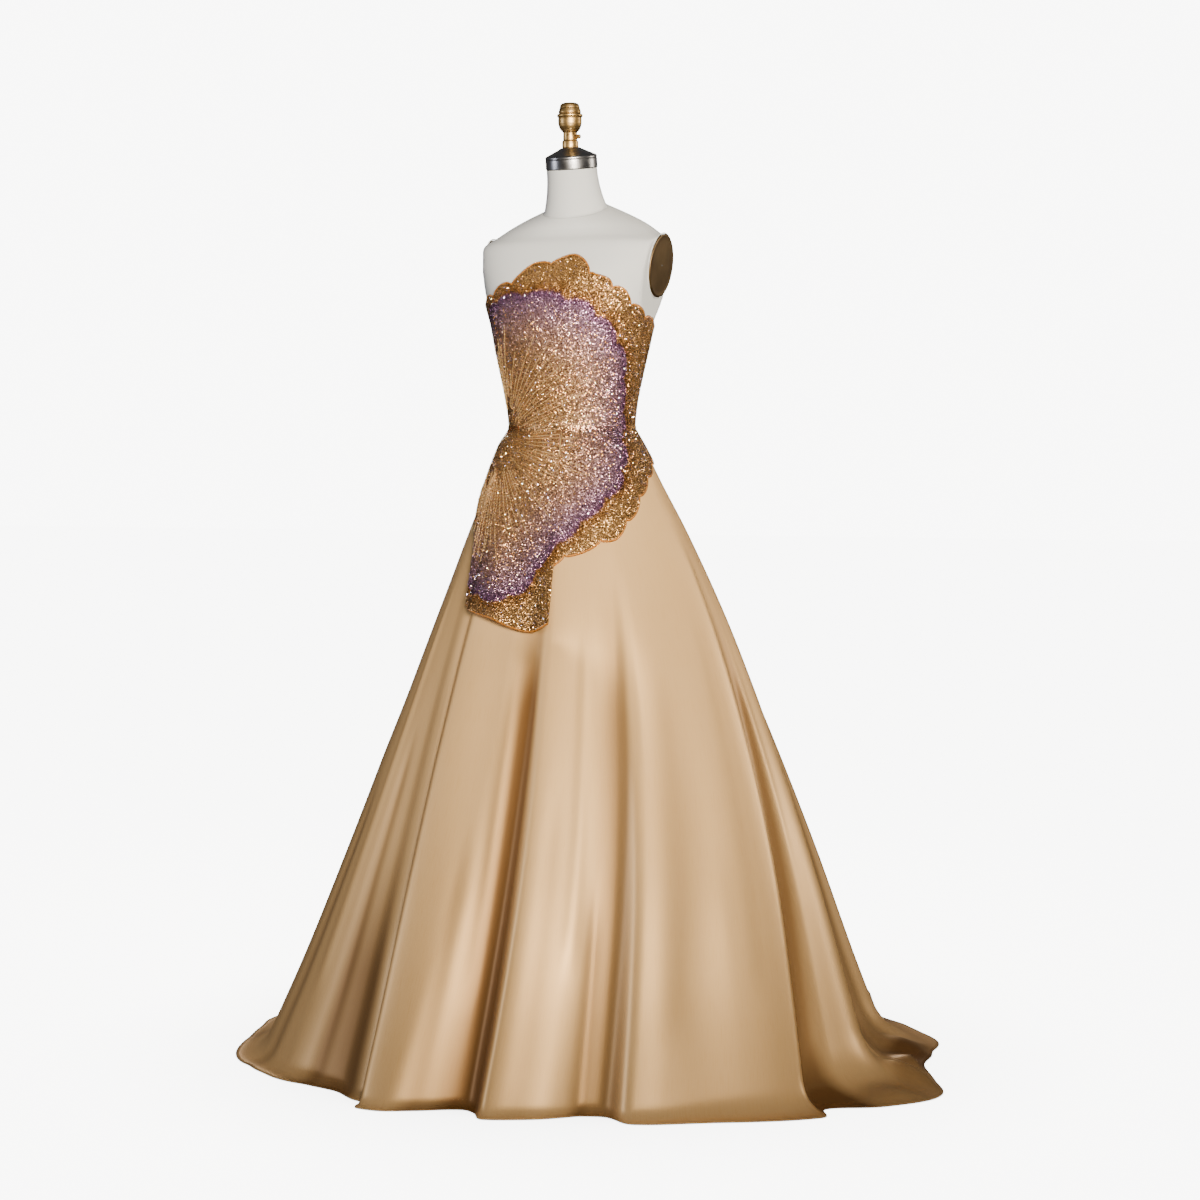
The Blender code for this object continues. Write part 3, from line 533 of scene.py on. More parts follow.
# The skirt: three flared panels of heavy gold duchess satin, seamed at both sides and the centre
# back and hung from the waist. It falls in deep flutes to the floor and trails behind as a short
# train. The hem is turned up 22 mm and blind-stitched.
SATIN_WALL = 0.0015
EASE = 0.0004
SEAM_GAP = 0.0003
FLOOR_RUN = 1.27
MOST_BEND = 0.10
BEND_SHARE = 0.9
FLUTE_GROWTH = 0.95
FLUTES_TURN_BELOW = 1.0
# The satin's painted shade: how much darker its colour is made in the flutes' troughs, on the cloth that lies
# on the floor and in the creases' troughs.
TROUGH_OF_FULL_SHADE = 0.030
SHADE_FALLOFF_SHARPNESS = 1.8
SHADE_PAINTED_BELOW = 0.95
SHADE_PAINTED_BELOW_RIGHT = 0.48
PAINTED_SHADE_GROWS_OVER = 0.3
LYING_PAINTED_SHADE = 0.5
LYING_SHADE_GROWS_OVER = 0.05
CREASE_PAINTED_SHADE = 0.35
CREASE_OF_FULL_SHADE = 0.003
CREASE_STARTS_OVER = 0.10
CREASE_ENDS_OVER = 0.16
STEP_ROUND = 0.4
STEP_DOWN = 0.004
Spread = namedtuple("Spread", "down out swing")
SKIRT_SPREAD = [
    Spread(0.0, 0.0, 0.0),
    Spread(0.026, 0.037, 0.001),
    Spread(0.090, 0.109, 0.006),
    Spread(0.153, 0.183, 0.011),
    Spread(0.284, 0.322, 0.018),
    Spread(0.480, 0.510, 0.021),
    Spread(0.675, 0.690, 0.018),
    Spread(0.870, 0.868, 0.008),
    Spread(1.0, 1.0, 0.0),
    Spread(1.4, 1.4, 0.0),
]
Hem = namedtuple("Hem", "angle radius lying")
HEM = [
    Hem(-90, 0.615, 0.030),
    Hem(-76, 0.622, 0.040),
    Hem(-64, 0.632, 0.050),
    Hem(-40, 0.624, 0.030),
    Hem(-18, 0.608, 0.016),
    Hem(5, 0.602, 0.014),
    Hem(25, 0.604, 0.014),
    Hem(45, 0.662, 0.030),
    Hem(60, 0.705, 0.060),
    Hem(70, 0.750, 0.110),
    Hem(82, 0.765, 0.140),
    Hem(92, 0.720, 0.120),
    Hem(104, 0.698, 0.110),
    Hem(120, 0.678, 0.095),
    Hem(140, 0.695, 0.120),
    Hem(158, 0.800, 0.210),
    Hem(178, 0.915, 0.320),
    Hem(198, 0.890, 0.300),
    Hem(218, 0.780, 0.190),
    Hem(240, 0.665, 0.080),
    Hem(270, 0.615, 0.030),
]
Flute = namedtuple("Flute", "top hem before after depth start lean")
FLUTES = [
    Flute(-62, -52, 15, 15, 0.014, 0.90, 0.0),
    Flute(-42, -22, 16, 9, -0.026, 1.00, 0.0),
    Flute(-24, -7, 6.5, 15, 0.042, 1.05, -3.0),
    Flute(7, 5.5, 10, 5, -0.032, 1.00, 0.0),
    Flute(15, 13, 5, 13, 0.026, 1.00, -2.0),
    Flute(39, 29.5, 10, 4.5, -0.022, 0.98, 0.0),
    Flute(47, 36, 5.5, 14, 0.020, 0.96, -1.5),
    Flute(80, 58, 18, 6.5, 0.040, 1.00, 2.0),
    Flute(88, 65, 6, 6, -0.026, 0.96, 0.0),
    Flute(101, 77, 9, 12, 0.028, 0.94, 1.5),
    Flute(118, 97, 9, 9, -0.018, 0.86, 0.0),
    Flute(128, 113, 9, 12, 0.024, 0.90, 0.0),
    Flute(146, 134, 10, 10, -0.024, 0.86, 0.0),
    Flute(158, 152, 10, 13, 0.034, 0.96, 1.5),
    Flute(178, 175, 10, 12, -0.030, 0.90, 0.0),
    Flute(196, 194, 12, 10, 0.036, 0.98, -1.5),
    Flute(212, 214, 10, 12, -0.028, 0.88, 0.0),
    Flute(228, 234, 11, 10, 0.030, 0.94, 0.0),
    Flute(248, 255, 10, 11, -0.022, 0.86, 0.0),
    Flute(264, 276, 11, 10, 0.020, 0.90, 0.0),
]


def soft_positive(value, bend):
    """The value above the bend, 0 below minus the bend, and (value + bend)^2 / (4 bend) between."""
    return np.where(value >= bend, value, np.where(value <= -bend, 0.0, (value + bend) ** 2 / (4 * bend)))


def wrap(angle):
    """The same direction between -90 and 270 degrees."""
    return np.mod(np.asarray(angle, float) + 90, 360) - 90


def waist_radius(angle, away):
    """The waist's ellipse, as 1 / sqrt((sin / width)^2 + (cos / depth)^2)."""
    ring = TORSO[6]
    sine, cosine = np.sin(np.radians(angle)), np.cos(np.radians(angle))
    depth = np.where(cosine > 0, ring.front, ring.back) + away
    return 1 / np.sqrt((sine / (ring.half_width + away)) ** 2 + (cosine / depth) ** 2)


def turned_share(height):
    """How much of its turn a flute has made at that height."""
    return np.clip((FLUTES_TURN_BELOW - height) / FLUTES_TURN_BELOW, 0.0, 1.0) ** FLUTE_GROWTH


def flutes_at(angle, height):
    """The flutes' part of the radius, their crests' lean, and the painted shade in their troughs, which
    grows in below a height. Each is a raised cosine."""
    radius = np.zeros(np.broadcast_shapes(np.shape(angle), np.shape(height)))
    lean, painted_shade = np.zeros_like(radius), np.zeros_like(radius)
    for flute in FLUTES:
        grown = np.clip((flute.start - height) / flute.start, 0.0, 1.0) ** FLUTE_GROWTH
        middle = flute.top + (flute.hem - flute.top) * turned_share(height)
        for turn in (-360, 0, 360):
            gap = wrap(angle) + turn - middle
            width = np.where(gap < 0, flute.before, flute.after)
            shape = 0.5 + 0.5 * np.cos(math.pi * np.clip(gap / width, -1.0, 1.0))
            radius = radius + flute.depth * grown * shape
            lean = lean + flute.lean * grown * shape
            across = gap / width
            # Painted shade in a trough: a raised cosine on its near side, held high on its far side and then
            # dropped sharply, growing in below a height.
            shaded_side = np.where(across < 0, shape, smooth_step((1 - across) * SHADE_FALLOFF_SHARPNESS))
            shade_below = SHADE_PAINTED_BELOW_RIGHT if flute.hem < 0 else SHADE_PAINTED_BELOW
            shows = smooth_step((shade_below - height) / PAINTED_SHADE_GROWS_OVER)
            painted_shade = painted_shade + max(-flute.depth, 0.0) / TROUGH_OF_FULL_SHADE * shaded_side * shows
    return radius, lean, painted_shade


def skirt_point(angle, down, relief=0.0):
    """The satin's inner face. The radius grows from the waist to the foot by the table, runs out flat
    along the floor past it, and the flutes add to it; down is 0 at the waist and 1 at the foot."""
    angle, down = np.broadcast_arrays(np.asarray(angle, float), np.asarray(down, float))
    hem = follow(HEM, "angle", "radius", wrap(angle))
    lying = follow(HEM, "angle", "lying", wrap(angle))
    foot, waist = hem - lying, waist_radius(angle, EASE)
    bend = np.minimum(BEND_SHARE * lying, MOST_BEND)
    line = WAIST_HEIGHT * (1 - down)
    run_out = (FLOOR_RUN - (foot - waist)) / WAIST_HEIGHT
    height = soft_positive(line, bend)
    folded, lean, _ = flutes_at(angle, height)
    radius = waist + (foot - waist) * follow(SKIRT_SPREAD, "down", "out", down)
    radius = radius + run_out * soft_positive(-line, bend) + folded + relief
    facing = np.radians(angle + lean)
    x = radius * np.sin(facing) + follow(SKIRT_SPREAD, "down", "swing", down)
    return np.stack([x, -radius * np.cos(facing), height], axis=-1)


def last_down(angle):
    """The value of down at the hem."""
    return 1 + follow(HEM, "angle", "lying", wrap(angle)) / FLOOR_RUN


def along_flutes(hem_angle, down):
    """The angle of a thread on its way up from the hem, beside the flutes."""
    hems = np.array([flute.hem for flute in FLUTES])
    turns = np.array([flute.top for flute in FLUTES]) - hems
    turn = smooth_curve(np.concatenate([hems - 360, hems, hems + 360]), np.tile(turns, 3), hem_angle)
    return hem_angle + turn * (1 - turned_share(np.maximum(WAIST_HEIGHT * (1 - down), 0.0)))


def run_along(path):
    """How far each point of a path is along it."""
    return np.concatenate([[0.0], np.cumsum(np.linalg.norm(np.diff(path, axis=0), axis=1))])


def points_at(path, run, at):
    """The path's points, or other vectors given along it, at those distances."""
    return np.stack([np.interp(at, run, path[:, axis]) for axis in range(3)], axis=-1)


def thread_angles(start, end, count):
    """Angles at the hem, the same length of hem apart, and their distances along it."""
    fine = np.linspace(start, end, 1441)
    run = run_along(skirt_point(fine, last_down(fine)))
    even = np.linspace(0.0, run[-1], count)
    return np.interp(even, run, fine), even


# Creases that a maker would see in this satin: soft troughs below 0 and ridges above it. Hem and top
# are their angles, from and to the heights between which they show.
Crease = namedtuple("Crease", "hem top depth width low high")
CREASES = [
    Crease(-84, -86, -0.0030, 2.4, 0.02, 0.62),
    Crease(-75, -80, 0.0036, 3.2, 0.00, 0.48),
    Crease(-68, -72, -0.0044, 2.6, 0.05, 0.86),
    Crease(-60, -66, 0.0026, 2.2, 0.10, 0.70),
    Crease(-46, -58, -0.0034, 2.0, 0.00, 0.55),
    Crease(-37, -52, 0.0022, 1.8, 0.22, 0.92),
    Crease(-29, -47, -0.0030, 2.0, 0.03, 0.66),
    Crease(-13, -31, 0.0018, 1.5, 0.30, 0.80),
    Crease(-1, -9, -0.0026, 1.6, 0.00, 0.50),
    Crease(3, 0, 0.0020, 1.5, 0.24, 0.76),
    Crease(17, 20, -0.0016, 2.0, 0.05, 0.60),
    Crease(22, 27, 0.0022, 1.7, 0.30, 0.84),
    Crease(26, 33, -0.0024, 1.4, 0.00, 0.42),
    Crease(34, 44, 0.0020, 1.4, 0.04, 0.66),
    Crease(42, 55, -0.0016, 3.0, 0.20, 0.80),
    Crease(49, 64, 0.0018, 2.4, 0.02, 0.46),
    Crease(54, 72, -0.0014, 1.8, 0.26, 0.88),
    Crease(70, 92, 0.0026, 1.8, 0.10, 0.78),
    Crease(84, 106, -0.0030, 2.2, 0.06, 0.58),
    Crease(91, 112, 0.0024, 2.0, 0.16, 0.82),
    Crease(106, 123, -0.0026, 2.4, 0.00, 0.52),
    Crease(122, 136, 0.0030, 2.2, 0.05, 0.70),
    Crease(129, 141, -0.0022, 1.8, 0.22, 0.86),
    Crease(143, 151, 0.0026, 2.4, 0.08, 0.60),
    Crease(159, 163, -0.0030, 2.0, 0.05, 0.74),
    Crease(167, 170, 0.0022, 1.8, 0.16, 0.50),
    Crease(184, 186, -0.0028, 2.6, 0.04, 0.66),
    Crease(203, 203, 0.0026, 2.0, 0.10, 0.80),
    Crease(208, 207, -0.0020, 1.8, 0.24, 0.58),
    Crease(224, 221, 0.0030, 2.4, 0.03, 0.64),
    Crease(243, 238, -0.0032, 2.2, 0.07, 0.76),
    Crease(262, 253, 0.0026, 2.6, 0.02, 0.54),
]
Ripple = namedtuple("Ripple", "angle down depth width length")
RIPPLES = [
    Ripple(-70, 1.010, 0.0040, 7.0, 0.016),
    Ripple(66, 1.012, 0.0060, 5.0, 0.020),
    Ripple(74, 1.060, 0.0140, 3.2, 0.040),
    Ripple(85, 1.050, 0.0300, 3.4, 0.050),
    Ripple(94, 1.070, 0.0220, 3.0, 0.040),
    Ripple(104, 1.040, 0.0200, 4.5, 0.040),
    Ripple(126, 1.028, 0.0070, 6.0, 0.018),
    Ripple(147, 1.060, 0.0090, 7.0, 0.026),
    Ripple(163, 1.110, 0.0100, 6.5, 0.032),
    Ripple(176, 1.160, 0.0110, 6.0, 0.036),
    Ripple(187, 1.070, 0.0090, 8.0, 0.028),
    Ripple(199, 1.150, 0.0110, 6.0, 0.034),
    Ripple(211, 1.080, 0.0090, 7.0, 0.028),
    Ripple(229, 1.050, 0.0070, 6.0, 0.022),
    Ripple(250, 1.016, 0.0040, 7.0, 0.016),
]


def creases_at(angle, down):
    """The creases' relief: each is exp(-(gap / width)^2) across, and fades out at its two ends."""
    height = np.maximum(WAIST_HEIGHT * (1 - down), 0.0)
    relief = np.zeros_like(height)
    for crease in CREASES:
        middle = crease.top + (crease.hem - crease.top) * turned_share(height)
        window = smooth_step((height - crease.low + CREASE_STARTS_OVER) / CREASE_STARTS_OVER)
        window = window * smooth_step((crease.high - height) / CREASE_ENDS_OVER)
        for turn in (-360, 0, 360):
            gap = wrap(angle) + turn - middle
            relief = relief + crease.depth * window * np.exp(-(gap / crease.width) ** 2)
    return relief


def ripples_at(angle, down):
    """How far low waves lift the cloth that lies on the floor: exp(-(gap / width)^2 - (run / length)^2)."""
    lift = np.zeros_like(down)
    for ripple in RIPPLES:
        gap = (wrap(angle) - ripple.angle) / ripple.width
        lift = lift + ripple.depth * np.exp(-gap ** 2 - ((down - ripple.down) / ripple.length) ** 2)
    return lift


# Duchess satin: long floats of filament silk, so it shines softly, and the shine spreads across the
# threads. A thread is 0.1 mm; the faint slubs are drawn 1.4 mm wide, so that they show.
satin, satin_tree, satin_shader = new_material(
    "gold_duchess_satin", Metallic=0.32, Roughness=0.37, Specular_IOR_Level=0.6, Anisotropic=0.4,
    Specular_Tint=linear("#F2D2A2"))
satin_uv = add_node(satin_tree, "UVMap", {"uv_map": "cloth"}).outputs["UV"]
stretch = add_node(satin_tree, "Mapping", {"Scale": (700.0, 22.0, 1.0)}, {"Vector": satin_uv})
slub = add_node(satin_tree, "TexNoise", {"Scale": 1.0, "Detail": 3.0, "Roughness": 0.6},
                {"Vector": stretch.outputs[0]})
broad = add_node(satin_tree, "TexNoise", {"Scale": 3.2, "Detail": 2.0}, {"Vector": satin_uv})
ground = blend(satin_tree, "#DBB47C", "#D2A970", broad.outputs["Fac"])
slubbed = add_node(satin_tree, "MapRange", {"From Min": 0.5, "From Max": 0.75, "To Max": 0.45},
                   {"Value": slub.outputs["Fac"]})
streak = add_node(satin_tree, "MixRGB", {"blend_type": "MULTIPLY", "Color2": linear("#EFE3D2")},
                  {"Color1": ground, "Fac": slubbed.outputs["Result"]})
# Painted shade: the colour is multiplied towards a dull brown by the attribute of painted shade in the troughs,
# the creases and the lying cloth.
painted_fold_shade = add_node(satin_tree, "Attribute", {"attribute_name": "painted_fold_shade"}).outputs["Fac"]
painted_shade_tint = add_node(satin_tree, "MixRGB", {"blend_type": "MULTIPLY", "Color2": linear("#827260")},
                  {"Color1": streak.outputs[0], "Fac": painted_fold_shade})
satin_tree.links.new(painted_shade_tint.outputs[0], satin_shader.inputs["Base Color"])
add_bump(satin_tree, satin_shader, slub.outputs["Fac"], 0.10, 0.0003)

HEM_DEPTH = 0.022
HEM_STEP = 0.0007
HEM_BLEND = 0.004
SEAM_DIP = 0.0009
SEAM_DIP_WIDTH = 0.006
RIPPLES_FADE_OVER = 0.03
PanelCut = namedtuple("PanelCut", "name node start end columns")
SKIRT_CUTS = [
    PanelCut("satin_skirt_front", "skirt_front", -90.0, 90.0, 400),
    PanelCut("satin_skirt_back_left", "skirt_back_left", 90.0, 180.0, 190),
    PanelCut("satin_skirt_back_right", "skirt_back_right", 180.0, 270.0, 190),
]
SKIRT_ROWS = 110
EVEN_ROWS, CLOSER_ROWS = 0.55, 0.45


def thicken(item, wall):
    """Gives a cloth its wall, outwards from the face that is drawn."""
    solid = item.modifiers.new("cloth", "SOLIDIFY")
    solid.thickness = wall
    solid.offset = 1.0
    solid.use_even_offset = True


panels = []
closer = 0.5 - 0.5 * np.cos(np.linspace(0, math.pi, SKIRT_ROWS))
row_share = (EVEN_ROWS * np.linspace(0, 1, SKIRT_ROWS) + CLOSER_ROWS * closer)[None, :]
for cut in SKIRT_CUTS:
    hem_angle, hem_run = thread_angles(cut.start, cut.end, cut.columns)
    hem_angle = hem_angle[:, None]
    down = last_down(hem_angle) * row_share
    angle = along_flutes(hem_angle, down)
    plain = skirt_point(angle, down)
    for side, sign in ((0, 1), (-1, -1)):
        radius = np.linalg.norm(plain[side, :, :2], axis=1)
        angle[side] += sign * np.degrees(0.5 * SEAM_GAP / radius)
    from_seam = np.minimum(hem_run - hem_run[0], hem_run[-1] - hem_run)[:, None]
    creased = creases_at(angle, down)
    seam_dip = -SEAM_DIP * np.exp(-(from_seam / SEAM_DIP_WIDTH) ** 2)
    points = skirt_point(angle, down, creased + seam_dip)
    lengths = np.linalg.norm(np.diff(points, axis=1), axis=-1)
    fallen = np.concatenate([np.zeros((cut.columns, 1)), np.cumsum(lengths, axis=1)], axis=1)
    to_hem = fallen[:, -1:] - fallen
    points[..., 2] += ripples_at(angle, down) * smooth_step(to_hem / RIPPLES_FADE_OVER)
    outwards = normalised(points[..., :2])
    turned_up = smooth_step((HEM_DEPTH + HEM_BLEND - to_hem) / HEM_BLEND) * (down < 1.0)
    points[..., :2] += HEM_STEP * outwards * turned_up[..., None]
    # Painted shade, kept as a point attribute for the satin's colour: darker in the flutes' troughs, on the
    # cloth that lies on the floor, and in the creases' troughs.
    painted_shade = flutes_at(angle, points[..., 2])[2] + LYING_PAINTED_SHADE * smooth_step((down - 1) / LYING_SHADE_GROWS_OVER)
    painted_shade_share = np.clip(painted_shade + CREASE_PAINTED_SHADE * np.clip(-creased / CREASE_OF_FULL_SHADE, 0.0, 1.0), 0.0, 1.0)
    uv = np.stack([np.broadcast_to(hem_run[:, None], down.shape), -fallen], axis=-1)
    panel = weave_mesh(cut.name, points, satin, uv=uv)
    layer = panel.data.attributes.new("painted_fold_shade", "FLOAT", "POINT")
    layer.data.foreach_set("value", painted_shade_share.reshape(-1).astype(np.float32))
    thicken(panel, SATIN_WALL)
    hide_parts(cut.node)
    panels.append((panel, hem_run[-1], fallen[:, -1].max(), points))


def tint_mesh(item, name, colour):
    """Gives each point of the mesh its colour, as an attribute of that name."""
    colour = np.concatenate([colour, np.ones((*colour.shape[:-1], 1))], axis=-1)
    layer = item.data.attributes.new(name, "FLOAT_COLOR", "POINT")
    layer.data.foreach_set("color", colour.reshape(-1).astype(np.float32))


def sew_on(name, shape, spots, along, normal, sizes, colour, material):
    """Many copies of a small shape in one mesh: each point is spot + x along + y beside + z normal,
    times its sizes."""
    along = normalised(along - np.sum(along * normal, axis=-1, keepdims=True) * normal)
    beside = np.cross(normal, along)
    count = len(spots)
    scaled = shape.points[None] * np.broadcast_to(sizes, (count, 3))[:, None]
    points = spots[:, None] + scaled[..., :1] * along[:, None] + scaled[..., 1:2] * beside[:, None]
    points = points + scaled[..., 2:] * normal[:, None]
    every = (shape.faces[None] + (np.arange(count) * len(shape.points))[:, None, None]).reshape(-1, 3)
    mesh = bpy.data.meshes.new(name)
    mesh.from_pydata(points.reshape(-1, 3).tolist(), [], every.tolist())
    mesh.materials.append(material)
    item = bpy.data.objects.new(name, mesh)
    bpy.context.scene.collection.objects.link(item)
    if colour is not None:
        tint_mesh(item, "bead_colour", np.repeat(colour[:, None], len(shape.points), axis=1))
    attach(item, "root")
    return item


# A stick along X, 1 long and 1 across its corners, for a stitch or a bugle bead.
Shape = namedtuple("Shape", "points faces")
turn = np.radians(full_turn(4) + 45)
stick_ends = [np.stack([0 * turn + end, 0.5 * np.cos(turn), 0.5 * np.sin(turn)], axis=-1)
              for end in (-0.5, 0.5)]
stick_sides = [[at, at + 4, (at + 1) % 4 + 4] for at in range(4)]
stick_sides += [[at, (at + 1) % 4 + 4, (at + 1) % 4] for at in range(4)]
STICK = Shape(np.concatenate(stick_ends), np.array(stick_sides + [[0, 1, 2], [0, 2, 3], [4, 6, 5], [4, 7, 6]]))

# Blind hem: a prick of silk thread every 8 mm, just above the turned-up edge, each a little uneven.
thread, _, _ = new_material("silk_thread_gold", Base_Color=linear("#B4894F"), Roughness=0.5)
STITCH_LEVEL = HEM_DEPTH + 0.003
STITCH_SPACING = 0.008
STITCH_WANDER = 0.15
STITCH_SIZE = [0.0016, 0.0004, 0.0004]
chance = np.random.default_rng(29)
for panel, width, length, points in panels:
    lengths = np.linalg.norm(np.diff(points, axis=1), axis=-1)
    to_hem = np.concatenate([np.cumsum(lengths[:, ::-1], axis=1)[:, ::-1], np.zeros((len(points), 1))], axis=1)
    row = np.argmax(to_hem <= STITCH_LEVEL, axis=1)
    column = np.arange(len(points))
    above, below = to_hem[column, row - 1] - STITCH_LEVEL, STITCH_LEVEL - to_hem[column, row]
    part = (above / (above + below))[:, None]
    line = points[column, row - 1] * (1 - part) + points[column, row] * part
    run = run_along(line)
    at = np.arange(STITCH_SPACING, run[-1] - STITCH_SPACING, STITCH_SPACING)
    at = at + (chance.random(len(at)) - 0.5) * STITCH_WANDER * STITCH_SPACING
    spots = points_at(line, run, at)
    ahead = points_at(line, run, at + 0.5 * STITCH_SPACING) - spots
    fall = points_at(points[column, row] - points[column, row - 1], run, at)
    out = normalised(np.cross(fall, ahead))
    stitches = sew_on(panel.name + "_hem_stitches", STICK, spots + out * SATIN_WALL, ahead, out, STITCH_SIZE,
                      None, thread)


# The bodice: strapless, in three panels of stiffened net that is covered all over with beadwork.
# It is cut close to the form, its top edge is scalloped and highest in front, and it closes at the
# centre back, where a concealed zip is sewn into the seam.
BEADED_WALL = 0.002
LAYER_GAP = 0.0014
BUST_EASE = 0.0021
EASE_CHANGES_OVER = 0.08
FACING_STEP = 0.002
SCALLOP_PITCH = 20.0
SCALLOP_DEPTH = 0.013
SCALLOPS_END = 118.0
Edge = namedtuple("Edge", "angle height")
NECKLINE = [
    Edge(-180, 1.358),
    Edge(-125, 1.368),
    Edge(-90, 1.392),
    Edge(-65, 1.408),
    Edge(-43, 1.424),
    Edge(-26, 1.443),
    Edge(-14, 1.458),
    Edge(-4, 1.482),
    Edge(8, 1.492),
    Edge(16, 1.477),
    Edge(25, 1.455),
    Edge(36, 1.444),
    Edge(50, 1.424),
    Edge(66, 1.398),
    Edge(85, 1.380),
    Edge(115, 1.364),
    Edge(150, 1.358),
    Edge(180, 1.358),
]


def scallop(angle, pitch, depth):
    """Round lobes along an edge: depth times the root of |sin(pi angle / pitch)|."""
    return depth * np.sqrt(np.abs(np.sin(math.pi * angle / pitch)))


def neckline(angle):
    """The top edge's table with scallops on it, which fade out towards the centre back."""
    fade = 1 - smooth_step((np.abs(angle) - SCALLOPS_END + SCALLOP_PITCH) / SCALLOP_PITCH)
    return follow(NECKLINE, "angle", "height", angle) + fade * scallop(angle, SCALLOP_PITCH, SCALLOP_DEPTH)


def off_the_form(height):
    """The bodice's stand-off from the form: over the skirt's top at the waist, and its own ease above."""
    above = smooth_step((height - WAIST_HEIGHT) / EASE_CHANGES_OVER)
    return EASE + (SATIN_WALL + LAYER_GAP) * (1 - above) + BUST_EASE * above


def bodice_cloth(start, end):
    """A function from two shares, round from the start and down from the top edge, to angle, height
    and place."""
    half_gap = math.degrees(0.5 * SEAM_GAP / TORSO[6].front)

    def place(across, down, away=0.0):
        """That function for this panel."""
        angle = start + half_gap + (end - start - 2 * half_gap) * across
        top = neckline(angle)
        height = top + (WAIST_HEIGHT + SEAM_GAP - top) * down
        return angle, height, body_point(angle, height, off_the_form(height) + away)

    return place


def facing_out(place, across, down, away=0.0):
    """Places on a cloth, and its unit normals there, from short steps along both shares."""
    wide = place(across + FACING_STEP, down, away)[2] - place(across - FACING_STEP, down, away)[2]
    tall = place(across, down + FACING_STEP, away)[2] - place(across, down - FACING_STEP, away)[2]
    return place(across, down, away)[2], normalised(np.cross(tall, wide))


# The beadwork's pattern: an ordinary sunray fan with a scalloped edge. The rays spread from the
# figure's right waist. Bearing is the ray's direction on the cloth, laid flat, and rim how far the
# fan reaches there. Bronze at its middle turns rose, then lilac; a violet line edges it.
FAN_ANGLE = -59.0
FAN_HEIGHT = 1.156
LOBE_PITCH = 12.0
LOBE_DEPTH = 0.045
Girth = namedtuple("Girth", "height radius")
GIRTHS = [
    Girth(0.78, 0.300),
    Girth(0.90, 0.236),
    Girth(1.00, 0.185),
    Girth(1.10, 0.140),
    Girth(1.18, 0.112),
    Girth(1.26, 0.121),
    Girth(1.36, 0.142),
    Girth(1.46, 0.152),
    Girth(1.54, 0.150),
]
Rim = namedtuple("Rim", "bearing reach")
RIMS = [
    Rim(-180, 0.215),
    Rim(-140, 0.230),
    Rim(-100, 0.258),
    Rim(-73, 0.312),
    Rim(-50, 0.264),
    Rim(-31, 0.268),
    Rim(-16, 0.282),
    Rim(0, 0.271),
    Rim(14, 0.276),
    Rim(34, 0.322),
    Rim(50, 0.322),
    Rim(66, 0.306),
    Rim(82, 0.276),
    Rim(110, 0.214),
    Rim(145, 0.205),
    Rim(180, 0.215),
]


def fan_share(angle, height):
    """How far a point is from the fan's middle, on the cloth laid flat, as a share of the way to its
    scalloped rim."""
    across = follow(GIRTHS, "height", "radius", height) * np.radians(angle)
    across = across - follow(GIRTHS, "height", "radius", FAN_HEIGHT) * math.radians(FAN_ANGLE)
    up = height - FAN_HEIGHT
    bearing = np.degrees(np.arctan2(up, across))
    lobes = 0.985 + scallop(bearing, LOBE_PITCH, LOBE_DEPTH) - 0.7 * LOBE_DEPTH
    return np.hypot(across, up) / (follow(RIMS, "bearing", "reach", bearing) * lobes)


Shade = namedtuple("Shade", "share colour")
FAN_SHADES = [
    Shade(0.00, "#BC8F58"),
    Shade(0.40, "#B88C5C"),
    Shade(0.60, "#B08862"),
    Shade(0.78, "#A47E74"),
    Shade(0.90, "#93707F"),
    Shade(0.952, "#8A687C"),
    Shade(0.968, "#7A5670"),
    Shade(1.00, "#744E6A"),
    Shade(1.006, "#8C5E30"),
    Shade(1.10, "#A88050"),
    Shade(1.60, "#976F3E"),
]


def fan_colour(share):
    """The bead colour at that share of the way to the rim, in linear light, blended between the
    table's rows."""
    places = [row.share for row in FAN_SHADES]
    colours = np.array([linear(row.colour)[:3] for row in FAN_SHADES])
    return np.stack([np.interp(share, places, colours[:, channel]) for channel in range(3)], axis=-1)


# The net under the beads: nylon net sewn solid with seed beads too small to see one by one, so it
# is drawn as facets 1.6 mm across, each tipped its own way, with darker gaps between.
net, net_tree, net_shader = new_material("seed_beaded_net", Metallic=0.55, Roughness=0.34)
net_at = add_node(net_tree, "TexCoord").outputs["Object"]
seeds = add_node(net_tree, "TexVoronoi", {"Scale": 620.0, "feature": "F1"}, {"Vector": net_at})
edges = add_node(net_tree, "TexVoronoi", {"Scale": 620.0, "feature": "DISTANCE_TO_EDGE"}, {"Vector": net_at})
net_tint = add_node(net_tree, "Attribute", {"attribute_name": "bead_colour"}).outputs["Color"]
grain = add_node(net_tree, "SeparateColor", None, {"Color": seeds.outputs["Color"]})
uneven = add_node(net_tree, "MapRange", {"To Min": 0.55, "To Max": 1.5}, {"Value": grain.outputs[0]})
lively = add_node(net_tree, "HueSaturation", {"Saturation": 1.05},
                  {"Color": net_tint, "Value": uneven.outputs["Result"]})
gaps = add_node(net_tree, "MapRange", {"From Max": 0.00022, "To Min": 0.25, "To Max": 1.0},
                {"Value": edges.outputs["Distance"]})
dark_gaps = add_node(net_tree, "MixRGB", {"blend_type": "MULTIPLY", "Fac": 1.0},
                     {"Color1": lively.outputs[0], "Color2": gaps.outputs["Result"]})
net_tree.links.new(dark_gaps.outputs[0], net_shader.inputs["Base Color"])
tip = add_node(net_tree, "VectorMath", {"operation": "SUBTRACT", 1: (0.5, 0.5, 0.5)},
               {0: seeds.outputs["Color"]})
tipped = add_node(net_tree, "VectorMath", {"operation": "SCALE", "Scale": 0.85}, {0: tip.outputs[0]})
